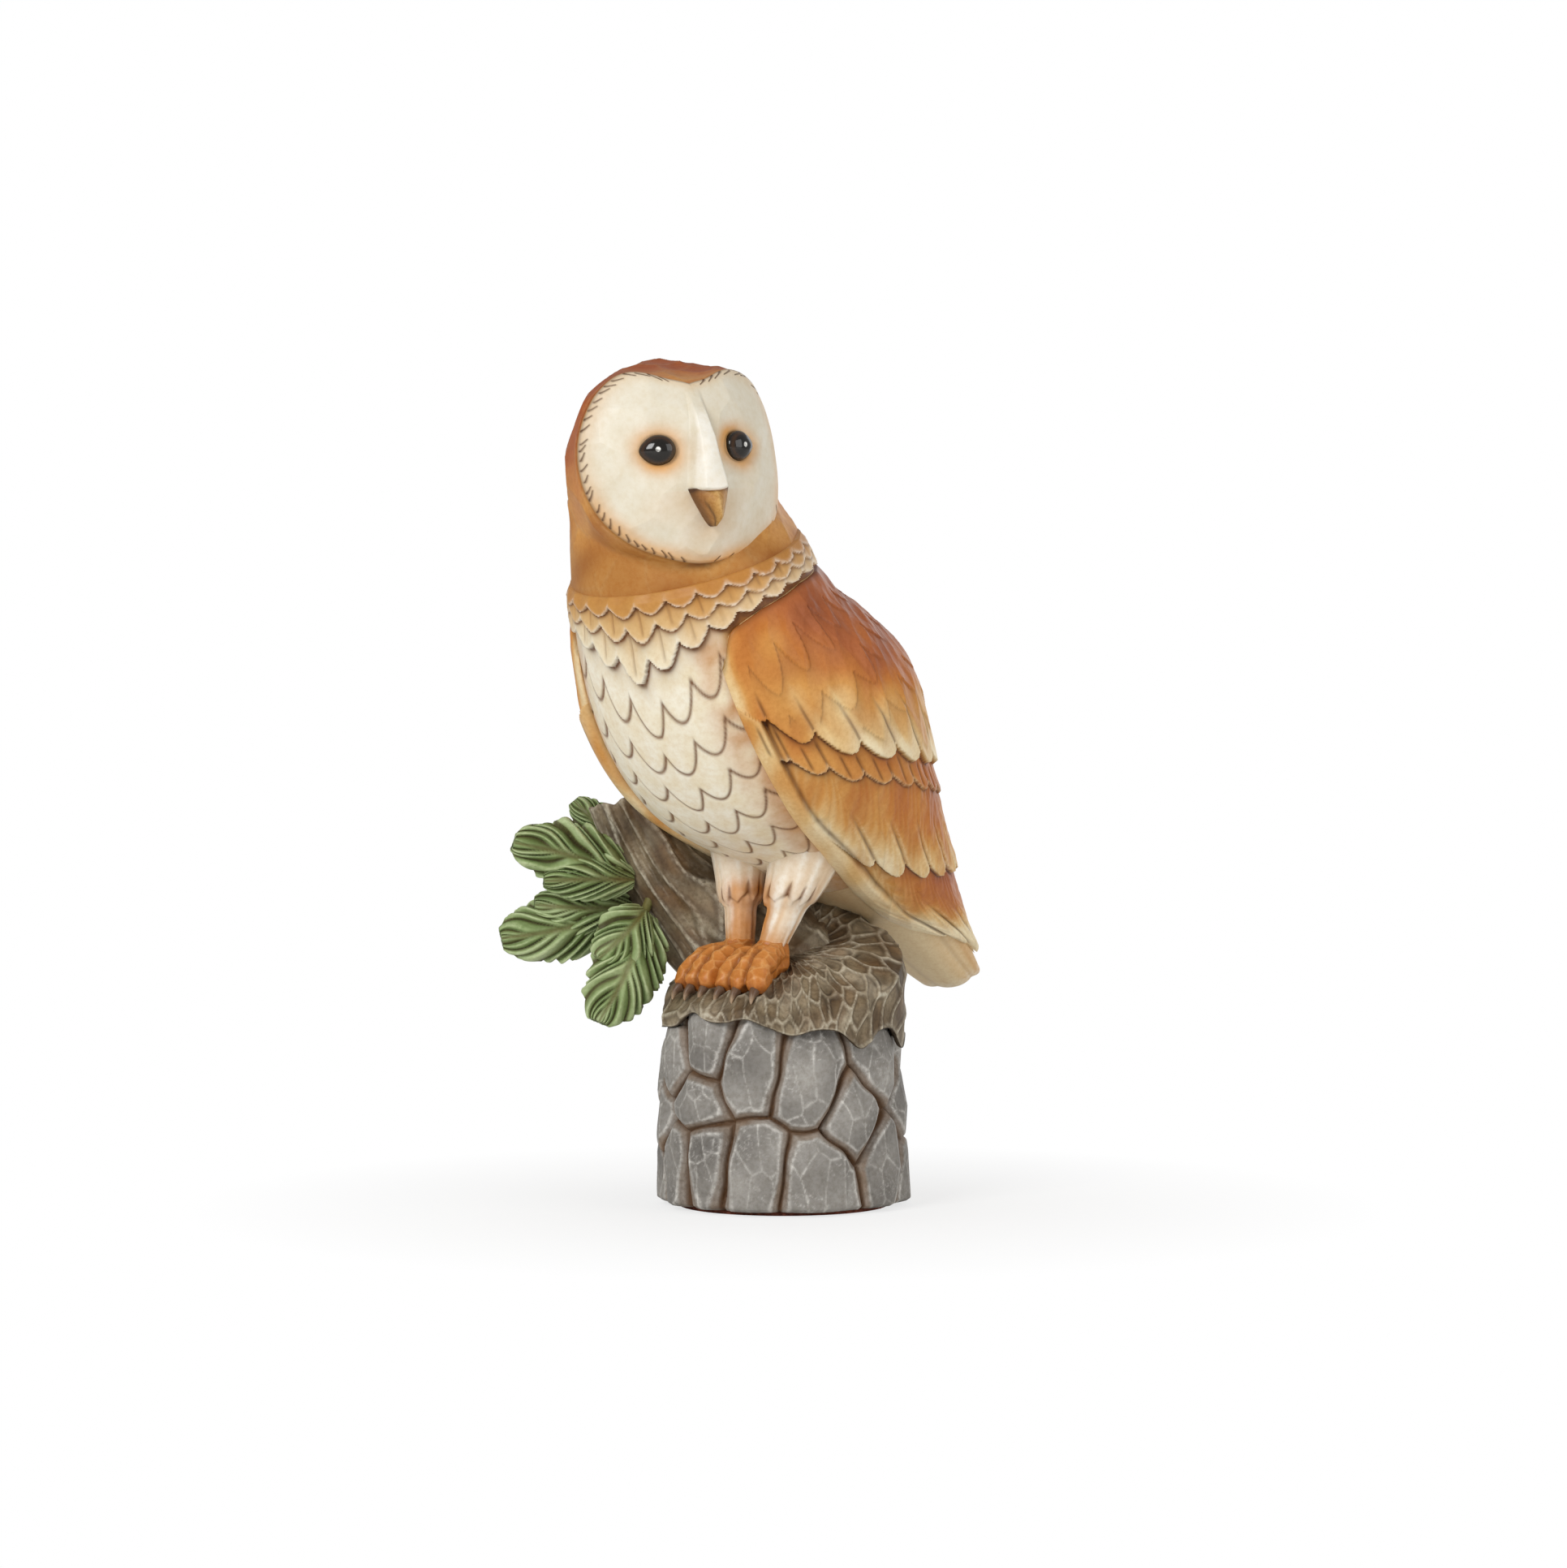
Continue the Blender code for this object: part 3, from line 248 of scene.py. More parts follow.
def meshOf(name, shells):
    # one mesh from several shells, with their paint as attributes
    start = np.cumsum([0] + [len(s[0]) for s in shells])
    points = np.concatenate([s[0] for s in shells])
    quads = np.concatenate([s[1] + o for s, o in zip(shells, start)])
    fans = np.concatenate([s[2] + o for s, o in zip(shells, start)])
    mesh = bpy.data.meshes.new(name)
    corner = np.concatenate([quads.ravel(), fans.ravel()])
    begin = np.concatenate([np.arange(len(quads)) * 4, len(quads) * 4 + np.arange(len(fans)) * 3])
    mesh.vertices.add(len(points))
    mesh.vertices.foreach_set("co", points.ravel())
    mesh.loops.add(len(corner))
    mesh.loops.foreach_set("vertex_index", corner)
    mesh.polygons.add(len(begin))
    mesh.polygons.foreach_set("loop_start", begin)
    mesh.update(calc_edges=True)
    mesh.validate()
    for key in paintKeys:
        value = np.concatenate([s[3].get(key, np.zeros(len(s[0]))) for s in shells])
        mesh.attributes.new(key, "FLOAT", "POINT").data.foreach_set("value", clamp(value))
    mesh.shade_smooth()
    return mesh


def melt(shells, voxel, rounds):
    # shells grown into one skin: a voxel remesh of them all, then rounds of smoothing. Gives points,
    # quads, normals
    blank = bpy.data.objects.new("blank", meshOf("blank", shells))
    scene.collection.objects.link(blank)
    skin = blank.modifiers.new("skin", "REMESH")
    skin.mode, skin.voxel_size = "VOXEL", voxel
    soft = blank.modifiers.new("soft", "SMOOTH")
    soft.factor, soft.iterations = 0.5, rounds
    done = bpy.data.meshes.new_from_object(blank.evaluated_get(bpy.context.evaluated_depsgraph_get()))
    points, normals = np.empty(len(done.vertices) * 3), np.empty(len(done.vertices) * 3)
    done.vertices.foreach_get("co", points)
    done.vertices.foreach_get("normal", normals)
    corner = np.empty(len(done.loops), np.int32)
    done.loops.foreach_get("vertex_index", corner)
    bpy.data.objects.remove(blank)
    return points.reshape(-1, 3), corner.reshape(-1, 4), normals.reshape(-1, 3)


def addPiece(name, shells, material):
    # makes the piece, paints it, and lets it stand for the CAD node of the same name
    mesh = meshOf(name, shells)
    mesh.materials.append(material)
    piece = bpy.data.objects.new("visual_" + name, mesh)
    scene.collection.objects.link(piece)
    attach(piece, "root")
    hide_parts(name)
    print("piece", name, sum(len(s[1]) * 2 + len(s[2]) for s in shells), "triangles")


def extend(paint, count, **ends):
    # paint values with more rows at the end, each row of one value, 0 if none is given
    return {key: np.concatenate([value, np.full((count, value.shape[1]), ends.get(key, 0.0))])
            for key, value in paint.items()}


def sweep(path, side, out, x, y):
    # rows of points carried along a path: x on the one direction and y on the other
    return path[:, None] + side[:, None] * x[..., None] + out[:, None] * y[..., None]


def tube(path, wide, tall, side, out, cols=12):
    # rounded blade: an ellipse of the given half sizes carried along a path, on the two given directions
    a = circle(cols)
    return sweep(path, side, out, wide[:, None] * np.cos(a), tall[:, None] * np.sin(a))


def unit(v):
    # the same direction, one long
    return v / np.linalg.norm(v, axis=-1, keepdims=True)


def spin(points, angle):
    # turn about the upright axis
    c, s = np.cos(angle), np.sin(angle)
    return at(c * points[..., 0] - s * points[..., 1], s * points[..., 0] + c * points[..., 1],
                     points[..., 2])


# Stage: camera at the photograph's angle, pale floor that keeps a soft shadow, white surround
# lamps: place, size and power of each softbox
stage = dict(lens=110.0, sensor=36.0, distance=1.121, elevation=np.radians(1.5), target=(0.0, 0.0, 0.0985),
             floor=4.0, surround=0.42, aim=(0, 0, 0.1), fade=(0.04, 0.14), least=0.72,
             lamps=((-0.75, -1.15, 0.80, 0.6, 12.0), (1.1, -0.7, 0.5, 0.9, 4.8), (0.5, 0.9, 0.25, 0.8, 2.0)))
eye = bpy.data.cameras.new("camera")
eye.lens, eye.sensor_width = stage["lens"], stage["sensor"]
viewer = bpy.data.objects.new("camera", eye)
viewer.location = np.array(stage["target"]) + stage["distance"] * np.array(
    (0, -np.cos(stage["elevation"]), np.sin(stage["elevation"])))
viewer.rotation_euler = (np.pi / 2 - stage["elevation"], 0, 0)
scene.collection.objects.link(viewer)
scene.camera = viewer
for n, (x, y, z, size, power) in enumerate(stage["lamps"]):
    lamp = bpy.data.lights.new(f"softbox{n}", "AREA")
    lamp.size, lamp.energy = size, power
    box = bpy.data.objects.new(f"softbox{n}", lamp)
    box.location = (x, y, z)
    aim = unit(np.array(stage["aim"]) - np.array((x, y, z)))
    box.rotation_euler = (np.arccos(-aim[2]), 0, np.arctan2(-aim[0], aim[1]))
    scene.collection.objects.link(box)
world = bpy.data.worlds.new("surround")
world.use_nodes = True
sky = world.node_tree
sky.nodes.clear()
rays = addNode(sky, "LightPath").outputs
level = addNode(sky, "MapRange", {0: rays["Is Camera Ray"], 3: stage["surround"], 4: 1.0})
lit = addNode(sky, "Background", {"Color": toLinear("#ffffff"), "Strength": level.outputs[0]})
addNode(sky, "OutputWorld", {0: lit.outputs[0]})
scene.world = world
half = stage["floor"]
ground = bpy.data.meshes.new("floor")
corners = [(-half, -half, 0), (half, -half, 0), (half, half, 0), (-half, half, 0)]
ground.from_pydata(corners, [], [(0, 1, 2, 3)])
floor = bpy.data.objects.new("floor", ground)
scene.collection.objects.link(floor)
# paper: no gloss, goes to plain white away from the object
paper, tree, shader = newTree("matt white paper sweep")
shader.inputs["Base Color"].default_value = toLinear("#f7f6f4")
shader.inputs["Roughness"].default_value = 0.9
spot = addNode(tree, "TexCoord").outputs["Object"]
away = addNode(tree, "VectorMath", {0: spot}, operation="LENGTH").outputs["Value"]
close, far = stage["fade"]
fade = addNode(tree, "MapRange", {0: away, 1: close, 2: far, 3: stage["least"], 4: 1.0})
rays = addNode(tree, "LightPath").outputs
plain = addNode(tree, "Math", {0: rays["Is Camera Ray"], 1: fade.outputs[0]}, operation="MULTIPLY")
white = addNode(tree, "Emission", {"Color": toLinear("#ffffff"), "Strength": 1.0})
both = addNode(tree, "MixShader", {0: plain.outputs[0], 1: shader.outputs[0], 2: white.outputs[0]})
tree.links.new(both.outputs[0], [n for n in tree.nodes if n.type == "OUTPUT_MATERIAL"][0].inputs[0])
ground.materials.append(paper)
print("stage set")

# Hem of the stump cap: (degrees from the front, height in mm)
hemKnots = np.array((
    (-100, 41.5), (-80, 42.4), (-59.9, 43.4), (-45.6, 46.6), (-39, 45.1), (-28.2, 44.7), (-17.5, 45.6),
    (-8.3, 44.0), (4.9, 42.0), (14, 43.1), (26.4, 42.7), (40, 38.6), (49.7, 42.2), (60.6, 42.6), (75.6, 37.6),
    (90, 40.5), (104, 38.8), (122, 41.6), (140, 39.0), (158, 41.8), (176, 39.6), (196, 42.0), (214, 40.0),
    (236, 42.2), (260, 41.5)))


def hemLine(a):
    # height of the hem, by the angle from the front, taken round to the range of the knots
    start = hemKnots[0, 0]
    return smoothThrough(*hemKnots.T, (np.degrees(a) - start) % 360 + start) * mm


# Stone base: rounded courses of cut stones, seeds as (degrees from the front, height in mm)
plinthTop = 42.6 * mm
base = dict(rows=150, cols=600, foot=29.5 * mm, top=27.0 * mm, low=1.1 * mm, height=41.5 * mm, mean=28 * mm,
            groove=0.7 * mm, grooveHalf=0.32 * mm, chamfer=1.2 * mm, chamferRun=1.55 * mm, dome=1.8 * mm,
            domeRun=8 * mm, tilt=0.03, stretch=1.9, underHem=1.3 * mm, inHem=26.3 * mm, fuller=0.9 * mm,
            waver=0.35 * mm, waverSize=9 * mm, chip=(5.4 * mm, 6.6 * mm), chipRun=48 * mm, chipLean=0.12,
            stones=((-42.6, 37.7), (-20, 33.6), (13, 29.9), (-47.9, 25.8), (-67.3, 34.5), (-60.6, 13.2),
                    (-41.6, 13.2), (-15, 11.4), (16.9, 9.5), (37.8, 22.5), (59, 34.5), (60.6, 13.2), (84, 24),
                    (90, 8), (102, 38), (113, 21), (128, 33), (133, 9), (148, 22), (157, 39), (170, 10),
                    (178, 28), (199, 38), (200, 17), (218, 29), (224, 8), (240, 20), (243, 39), (262, 30),
                    (265, 10), (281, 21)))
basePaint = paintedResin("painted cast resin, grey stone", dict(
    run=((0.0, "#6f6b66"), (0.45, "#8a8680"), (0.75, "#9c9892"), (1.0, "#b2aea7")), wash="#5a3d22",
    brush="#d2cec7", blush="#86694b", shade="#dcd9d4", cloud=9 * mm, fine=1.3 * mm, drift=0.55,
    rough=(0.5, 0.68), grain=0.5))


def buildBase():
    # upright drum: radius runs straight from foot to top, less a V groove and a chamfer by the distance
    # to the next stone. Each stone is a low dome cut into flats: the dome falls with the square of the
    # distance to the stone's middle and rises with the square of the distance to the nearest chip,
    # which leaves planes between sharp edges
    s = base
    a = circle(s["cols"])  # from the front, to the viewer's right
    z = s["low"] + (hemLine(a) + s["underHem"] - s["low"]) * column(0, 1, s["rows"])
    a = a + 0 * z
    mean, wide = s["mean"], turn * s["mean"]
    ring = at(np.cos(a), np.sin(a), z / (30 * mm)) * mean
    u = a * mean + s["waver"] * wander(ring, s["waverSize"], 3)
    v = z + s["waver"] * wander(ring, s["waverSize"], 4)
    seeds = np.array([(np.radians(d) % turn * mean, h * mm) for d, h in s["stones"]])
    first, second, which = nearestTwo(at(u, v), seeds, wide)
    gap = (second - first) / 2
    dice = np.random.default_rng(8)
    lean = dice.uniform(-1, 1, (len(seeds), 2)) * s["tilt"]
    du = (u - seeds[which, 0] + wide / 2) % wide - wide / 2
    flat = du * lean[which, 0] + (v - seeds[which, 1]) * lean[which, 1]
    chips = scatter(wide, s["chipRun"] / s["stretch"], *s["chip"], 21)
    near, next2, _ = nearestTwo(at(u + s["chipLean"] * v, v / s["stretch"]), chips, wide)
    crease = next2 - near
    inner = ease(1.1 * mm, 1.8 * mm, gap)
    h = -s["groove"] * line(gap, s["grooveHalf"]) - s["chamfer"] * clamp(1 - gap / s["chamferRun"])
    low = du ** 2 + ((v - seeds[which, 1]) / s["stretch"]) ** 2
    h = h + flat + s["dome"] * (near ** 2 - np.minimum(low, s["domeRun"] ** 2)) / s["domeRun"] ** 2 + 0.4 * mm
    h = h - 1.0 * mm * ease(s["low"] + 1.0 * mm, s["low"], z) ** 2
    r = s["foot"] + (s["top"] - s["foot"]) * (z - s["low"]) / s["height"] + h
    r = r + s["fuller"] * clamp(-np.sin(a)) ** 2 * ease(8 * mm, 20 * mm, z)  # fuller on the limb's side
    r = np.minimum(r, s["inHem"] + 30 * clamp(hemLine(a) - 0.2 * mm - z))  # clear of the cap inside the hem
    grid = drum(r, a, z)
    rub = mottle(grid, 7 * mm, 5)
    veins = line(wander(grid, 4.6 * mm, 7), 0.06) + line(wander(grid, 2.6 * mm, 10), 0.07)
    crackle = veins * ease(0.3, 0.8, mottle(grid, 11 * mm, 9))
    edge = 0.85 * line(gap - s["chamferRun"], 0.32 * mm) + 0.25 * line(gap - 0.7 * mm, 0.25 * mm)
    bevel = ease(s["chamferRun"], 0.7 * s["chamferRun"], gap)
    tone = 0.48 + 0.2 * dice.uniform(-1, 1, len(seeds))[which] + 0.2 * wander(grid, 16 * mm, 6)
    wash = 0.95 * line(gap, 0.4 * mm) + 0.4 * line(gap, 1.0 * mm) * ease(0.2, 0.9, rub)
    scratch = 0.75 * line(crease, 0.28 * mm) * (0.4 + 0.6 * rub) + 0.42 * crackle
    brush = edge * (0.35 + 0.65 * rub) + inner * scratch
    blush = bevel * (0.6 - 0.4 * rub) + 0.35 * line(gap, 0.8 * mm)
    return [shell(grid, dict(tone=tone, wash=wash, brush=brush, blush=blush))]


addPiece("stone_base", buildBase(), basePaint)

# Stump cap: gouged top that falls to a wavy hem over the stones
stump = dict(topRows=96, skirtRows=44, cols=460, edge=28.4 * mm, stand=15.8 * mm, ramp=0.26, cant=0.12,
             fall=5.4 * mm, frontFall=3.4 * mm, leftFall=1.8 * mm, scoop=0.8 * mm, cell=3.2 * mm, stretch=2.5,
             mean=22 * mm, run=56 * mm, dish=2.0 * mm, inside=26.75 * mm, ceiling=47.4 * mm, gap=1.9 * mm,
             mound=8.0 * mm, moundAt=(9 * mm, 17 * mm), moundRun=(15 * mm, 9 * mm))
barkPaint = paintedResin("painted cast resin, grey-brown bark", dict(
    run=((0.0, "#55452f"), (0.35, "#806f56"), (0.65, "#95866c"), (1.0, "#ada089")), wash="#33271a",
    brush="#c4bca8", blush="#795c3c", shade="#c4bcb2", cloud=11 * mm, fine=1.2 * mm, drift=0.5,
    rough=(0.5, 0.66), grain=0.5))


def stumpPlate(x, y):
    # flat plate, a ramp to the back and to the right
    return plinthTop + stump["stand"] + stump["ramp"] * y + stump["cant"] * x


def stumpTop(x, y, rim, r):
    # the plate, less a fall to the rim that grows with the fourth power, and a mound under the tail
    s = stump
    share = clamp(r / s["edge"])
    (x0, y0), (xRun, yRun) = s["moundAt"], s["moundRun"]
    mound = s["mound"] * np.exp(-((x - x0) / xRun) ** 2 - ((y - y0) / yRun) ** 2)
    return stumpPlate(x, y) - rim * share ** 4 + mound * (1 - share ** 6)


def buildStump():
    # path from the middle of the top over the rim, down the skirt to the hem, round its lip and up inside;
    # stretched dishes with ridges between them are cut square to the path
    s = stump
    a = circle(s["cols"])  # from the front, to the viewer's right
    hem = hemLine(a)
    x1, y1 = s["edge"] * np.sin(a), -s["edge"] * np.cos(a)
    fall = s["fall"] - (s["frontFall"] * y1 + s["leftFall"] * x1) / s["edge"]
    plate = stumpPlate(x1, y1)
    rim = plate - np.maximum(plate - fall, hem + 2.2 * mm)
    r = column(0.6 * mm, s["edge"] - 0.3 * mm, s["topRows"]) + 0 * a
    top = drum(r, a, stumpTop(r * np.sin(a), -r * np.cos(a), rim, r))
    t = column(0, 1, s["skirtRows"])
    zEdge = top[-1:, :, 2]
    out = s["edge"] + 0.3 * mm * np.sin(np.pi * t) + 0.5 * mm * t ** 3
    skirt = drum(out, a, zEdge - 0.25 * mm + (hem - zEdge + 0.25 * mm) * t)
    outside = np.concatenate([top, skirt])
    run = np.linalg.norm(np.diff(outside, axis=0), axis=-1).cumsum(0)
    run = np.concatenate([np.zeros((1, s["cols"])), run])
    wide = turn * s["mean"]
    u = a * s["mean"] + 0.5 * mm * wander(outside, 15 * mm, 31) + 0.25 * run * np.sin(2 * a)
    v = run / s["stretch"] + 0.25 * mm * wander(outside, 15 * mm, 32)
    seeds = scatter(wide, s["run"] / s["stretch"], s["cell"], s["cell"], 33)
    near, second, which = nearestTwo(at(u, v), seeds, wide)
    crease = second - near
    h = s["scoop"] * ((near / s["dish"]) ** 2 - 0.75) * np.minimum(1, run / (8 * mm))
    h = np.clip(h, -0.9 * mm, 0.5 * mm) - 0.2 * mm * line(crease - 0.8 * mm, 0.35 * mm)
    away = unit(np.cross(np.gradient(outside, axis=0), np.roll(outside, -1, 1) - np.roll(outside, 1, 1)))
    rowAt = np.arange(len(away))
    away = unit(sum(away[np.clip(rowAt + k, 0, rowAt[-1])] for k in range(-5, 6)))  # evened along the path
    cut = outside + away * h[..., None]
    lip = [drum(s["edge"] + (0.5 - inward) * mm, a, hem + lift * mm)  # rounded, mm in from the skirt
           for inward, lift in ((0.35, -0.35), (0.9, -0.35), (1.5, 0.1), (1.9, 1.2))]
    lip += [drum(rr, a, zz) for rr, zz in ((s["inside"], hem + s["gap"]), (0.5 * s["inside"], s["ceiling"]),
                                           (0.6 * mm, s["ceiling"]))]
    dice = np.random.default_rng(34)
    rub = mottle(outside, 8 * mm, 35)
    tone = 0.58 + 0.2 * dice.uniform(-1, 1, len(seeds))[which] + 0.3 * wander(outside, 17 * mm, 36)
    wash = 0.62 * line(near, 1.4 * mm) * ease(0.2, 0.8, 1 - rub)
    wash = wash + 0.45 * line(crease - 0.75 * mm, 0.35 * mm)
    lipShare = np.concatenate([np.zeros((s["topRows"], 1)), t])
    brush = line(crease, 0.34 * mm) * (0.35 + 0.65 * rub)
    brush = brush + 0.5 * ease(0.86, 0.98, lipShare) * (0.4 + 0.6 * rub)
    blush = 0.6 * ease(0.45, 0.9, mottle(outside, 12 * mm, 37))
    paint = extend(dict(tone=tone, wash=wash, brush=brush, blush=blush), len(lip), wash=0.8)
    return [shell(np.concatenate([cut] + lip), paint)]


addPiece("stump_cap", buildStump(), barkPaint)

# Limb: broken branch that flares into the stump
limb = dict(rows=190, cols=150, turnAt=np.radians(121.0), reach=17.5 * mm, footRise=11.6 * mm, foot=11.6 * mm,
            tip=(-38.5 * mm, 14.0 * mm, 51.4 * mm), tipRadius=7.0 * mm, bend=2.0 * mm, flare=3.2 * mm,
            length=55 * mm, mean=9 * mm, scoop=1.15 * mm, dish=2.6 * mm, cell=4.3 * mm, stretch=9.0,
            stroke=(2.2 * mm, 2.6 * mm), strokeStretch=16, strokeCut=0.14 * mm, spare=3.0 * mm, seeded=0.32,
            jag=0.9 * mm, lean=1.6 * mm, hollow=0.9 * mm)


def limbPoint(share):
    # straight run from foot to tip, bowed outwards and down by a half sine
    s = limb
    foot = np.array((s["reach"] * np.cos(s["turnAt"]), s["reach"] * np.sin(s["turnAt"]), s["footRise"]))
    bow = s["bend"] * np.sin(np.pi * clamp(share))
    share = np.asarray(share, float)[..., None]
    return foot + (np.array(s["tip"]) - foot) * share + at(-bow, 0 * bow, plinthTop - bow)


def buildLimb():
    # tube along the limb: radius runs from foot to tip with a flare at the foot, cut by long dishes;
    # its broken end is jagged and goes back in as a splintered hollow
    s = limb
    t = column(-0.16, 1.0, s["rows"])
    a = circle(s["cols"])
    path = limbPoint(t[:, 0])
    along = unit(np.gradient(path, axis=0))
    side = unit(np.cross(along, np.array((0, 1.0, 0))))
    out = np.cross(along, side)
    mean, length = s["mean"], s["length"]
    radius = s["foot"] + (s["tipRadius"] - s["foot"]) * clamp(t)
    radius = radius + s["flare"] * np.exp(-np.clip(t + 0.04, 0, 2) / 0.13)
    ring = at(np.cos(a) * mean, np.sin(a) * mean, t * length)
    u = a * mean + 0.8 * mm * wander(ring, 16 * mm, 41)
    v = t * length / s["stretch"] + 0.15 * mm * wander(ring, 16 * mm, 42)
    before = np.array((0, s["spare"]))  # seeds start ahead of the foot
    seeds = scatter(turn * mean, s["seeded"] * length, s["cell"], s["cell"], 43) - before
    near, second, which = nearestTwo(at(u, v), seeds, turn * mean)
    crease = second - near
    h = np.clip(s["scoop"] * ((near / s["dish"]) ** 2 - 0.7), -1.0 * mm, 0.8 * mm)
    h = h + 0.12 * mm * wander(ring, 4 * mm, 48)
    strokes = scatter(turn * mean, s["seeded"] * length, *s["stroke"], 49) - before
    near2, next2, _ = nearestTwo(at(u, v * s["stretch"] / s["strokeStretch"]), strokes, turn * mean)
    grain = line(next2 - near2, 0.22 * mm)  # fine strokes along the broad cuts
    h = h - s["strokeCut"] * grain
    jag = s["jag"] * (np.sin(3 * a + 0.4) + 0.6 * np.sin(7 * a + 1.3) + 0.45 * np.sin(13 * a)) / 2
    jag = jag + s["lean"] * np.cos(a - 0.6)
    fuller = 0.55 * clamp(-np.cos(a)) * ease(1.05, 0.45, t)
    spread = radius * (1 + 0.05 * np.sin(3 * a + 2 * t) + fuller) + h
    body = sweep(path, side, out, spread * np.cos(a), spread * np.sin(a))
    body = body + along[:, None] * (jag * ease(0.85, 1.0, t))[..., None]
    ends = []
    for shrink, back in ((0.93, -0.1), (0.82, 0.3), (0.62, 0.65), (0.4, 0.8), (0.2, 1.0), (0.04, 0.9)):
        splinter = jag * shrink + s["hollow"] * (-back + 0.22 * np.sin(9 * a + 5 * shrink))
        across, up = spread[-1:] * shrink * np.cos(a), spread[-1:] * shrink * np.sin(a)
        ends.append(sweep(path[-1:], side[-1:], out[-1:], across, up) + along[-1] * splinter[..., None])
    rub = mottle(body, 8 * mm, 44)
    dice = np.random.default_rng(45)
    tone = 0.42 + 0.2 * dice.uniform(-1, 1, len(seeds))[which] + 0.28 * wander(body, 14 * mm, 46)
    wash = 0.7 * line(near, 1.5 * mm) * (1 - 0.6 * rub) + 0.45 * line(crease - 0.8 * mm, 0.45 * mm)
    brush = line(crease, 0.42 * mm) * (0.35 + 0.65 * rub) + 0.32 * grain * rub
    brush = brush + 0.6 * ease(0.965, 1.0, t) * rub
    blush = 0.9 * ease(0.3, 0.85, mottle(body, 11 * mm, 47))
    paint = extend(dict(tone=tone, wash=wash, brush=brush, blush=blush), len(ends),
                   tone=0.75, wash=0.25, brush=0.35, blush=0.5)
    return [shell(np.concatenate([body] + ends), paint)]


addPiece("limb", buildLimb(), barkPaint)

# Sprigs: (node, station on the limb, root from it, tip over the base, width, bow, needles a side, seed,
# upper bunch as share of the length, degrees aside and share of the width)
sprigs = (
    ("sprig_top", 0.72, (-8.0, 7.0, 0.5), (-51.5, 21.0, 53.2), 10.4, 0.8, 5, 51, None),
    ("sprig_upper", 0.62, (-7.0, -4.5, -1.0), (-67.0, -3.0, 43.6), 16.5, 1.2, 7, 52, (0.72, -17.0, 0.72)),
    ("sprig_lower", 0.55, (-8.5, 1.0, -5.0), (-71.0, 5.0, 18.4), 17.5, -1.2, 7, 53, (0.74, 14.0, 0.74)),
    ("sprig_hanging", 0.54, (-6.0, -7.5, -6.0), (-44.5, -7.0, -3.1), 18.5, -1.5, 8, 54, (0.56, 20.0, 0.8)),
    ("sprig_back", 0.38, (-11.0, 3.0, -6.0), (-32.5, 11.0, 8.4), 8.0, -1.0, 5, 55, None))
needle = dict(rows=210, cols=150, thick=2.8 * mm, ridge=2.0 * mm, sweep=0.42, scallop=0.14, stem=1.3 * mm,
              cut=0.88, upperRows=160, upperCols=120, upperLift=1.7 * mm, twigRows=26)
needlePaint = paintedResin("painted cast resin, pine green", dict(
    run=((0.0, "#4d5830"), (0.35, "#738853"), (0.65, "#94a871"), (1.0, "#b6c594")), wash="#443c1b",
    brush="#c9d3a6", blush="#80713f", shade="#e0e4d6", cloud=7 * mm, fine=1.0 * mm, drift=0.35,
    rough=(0.4, 0.55), grain=0.35))


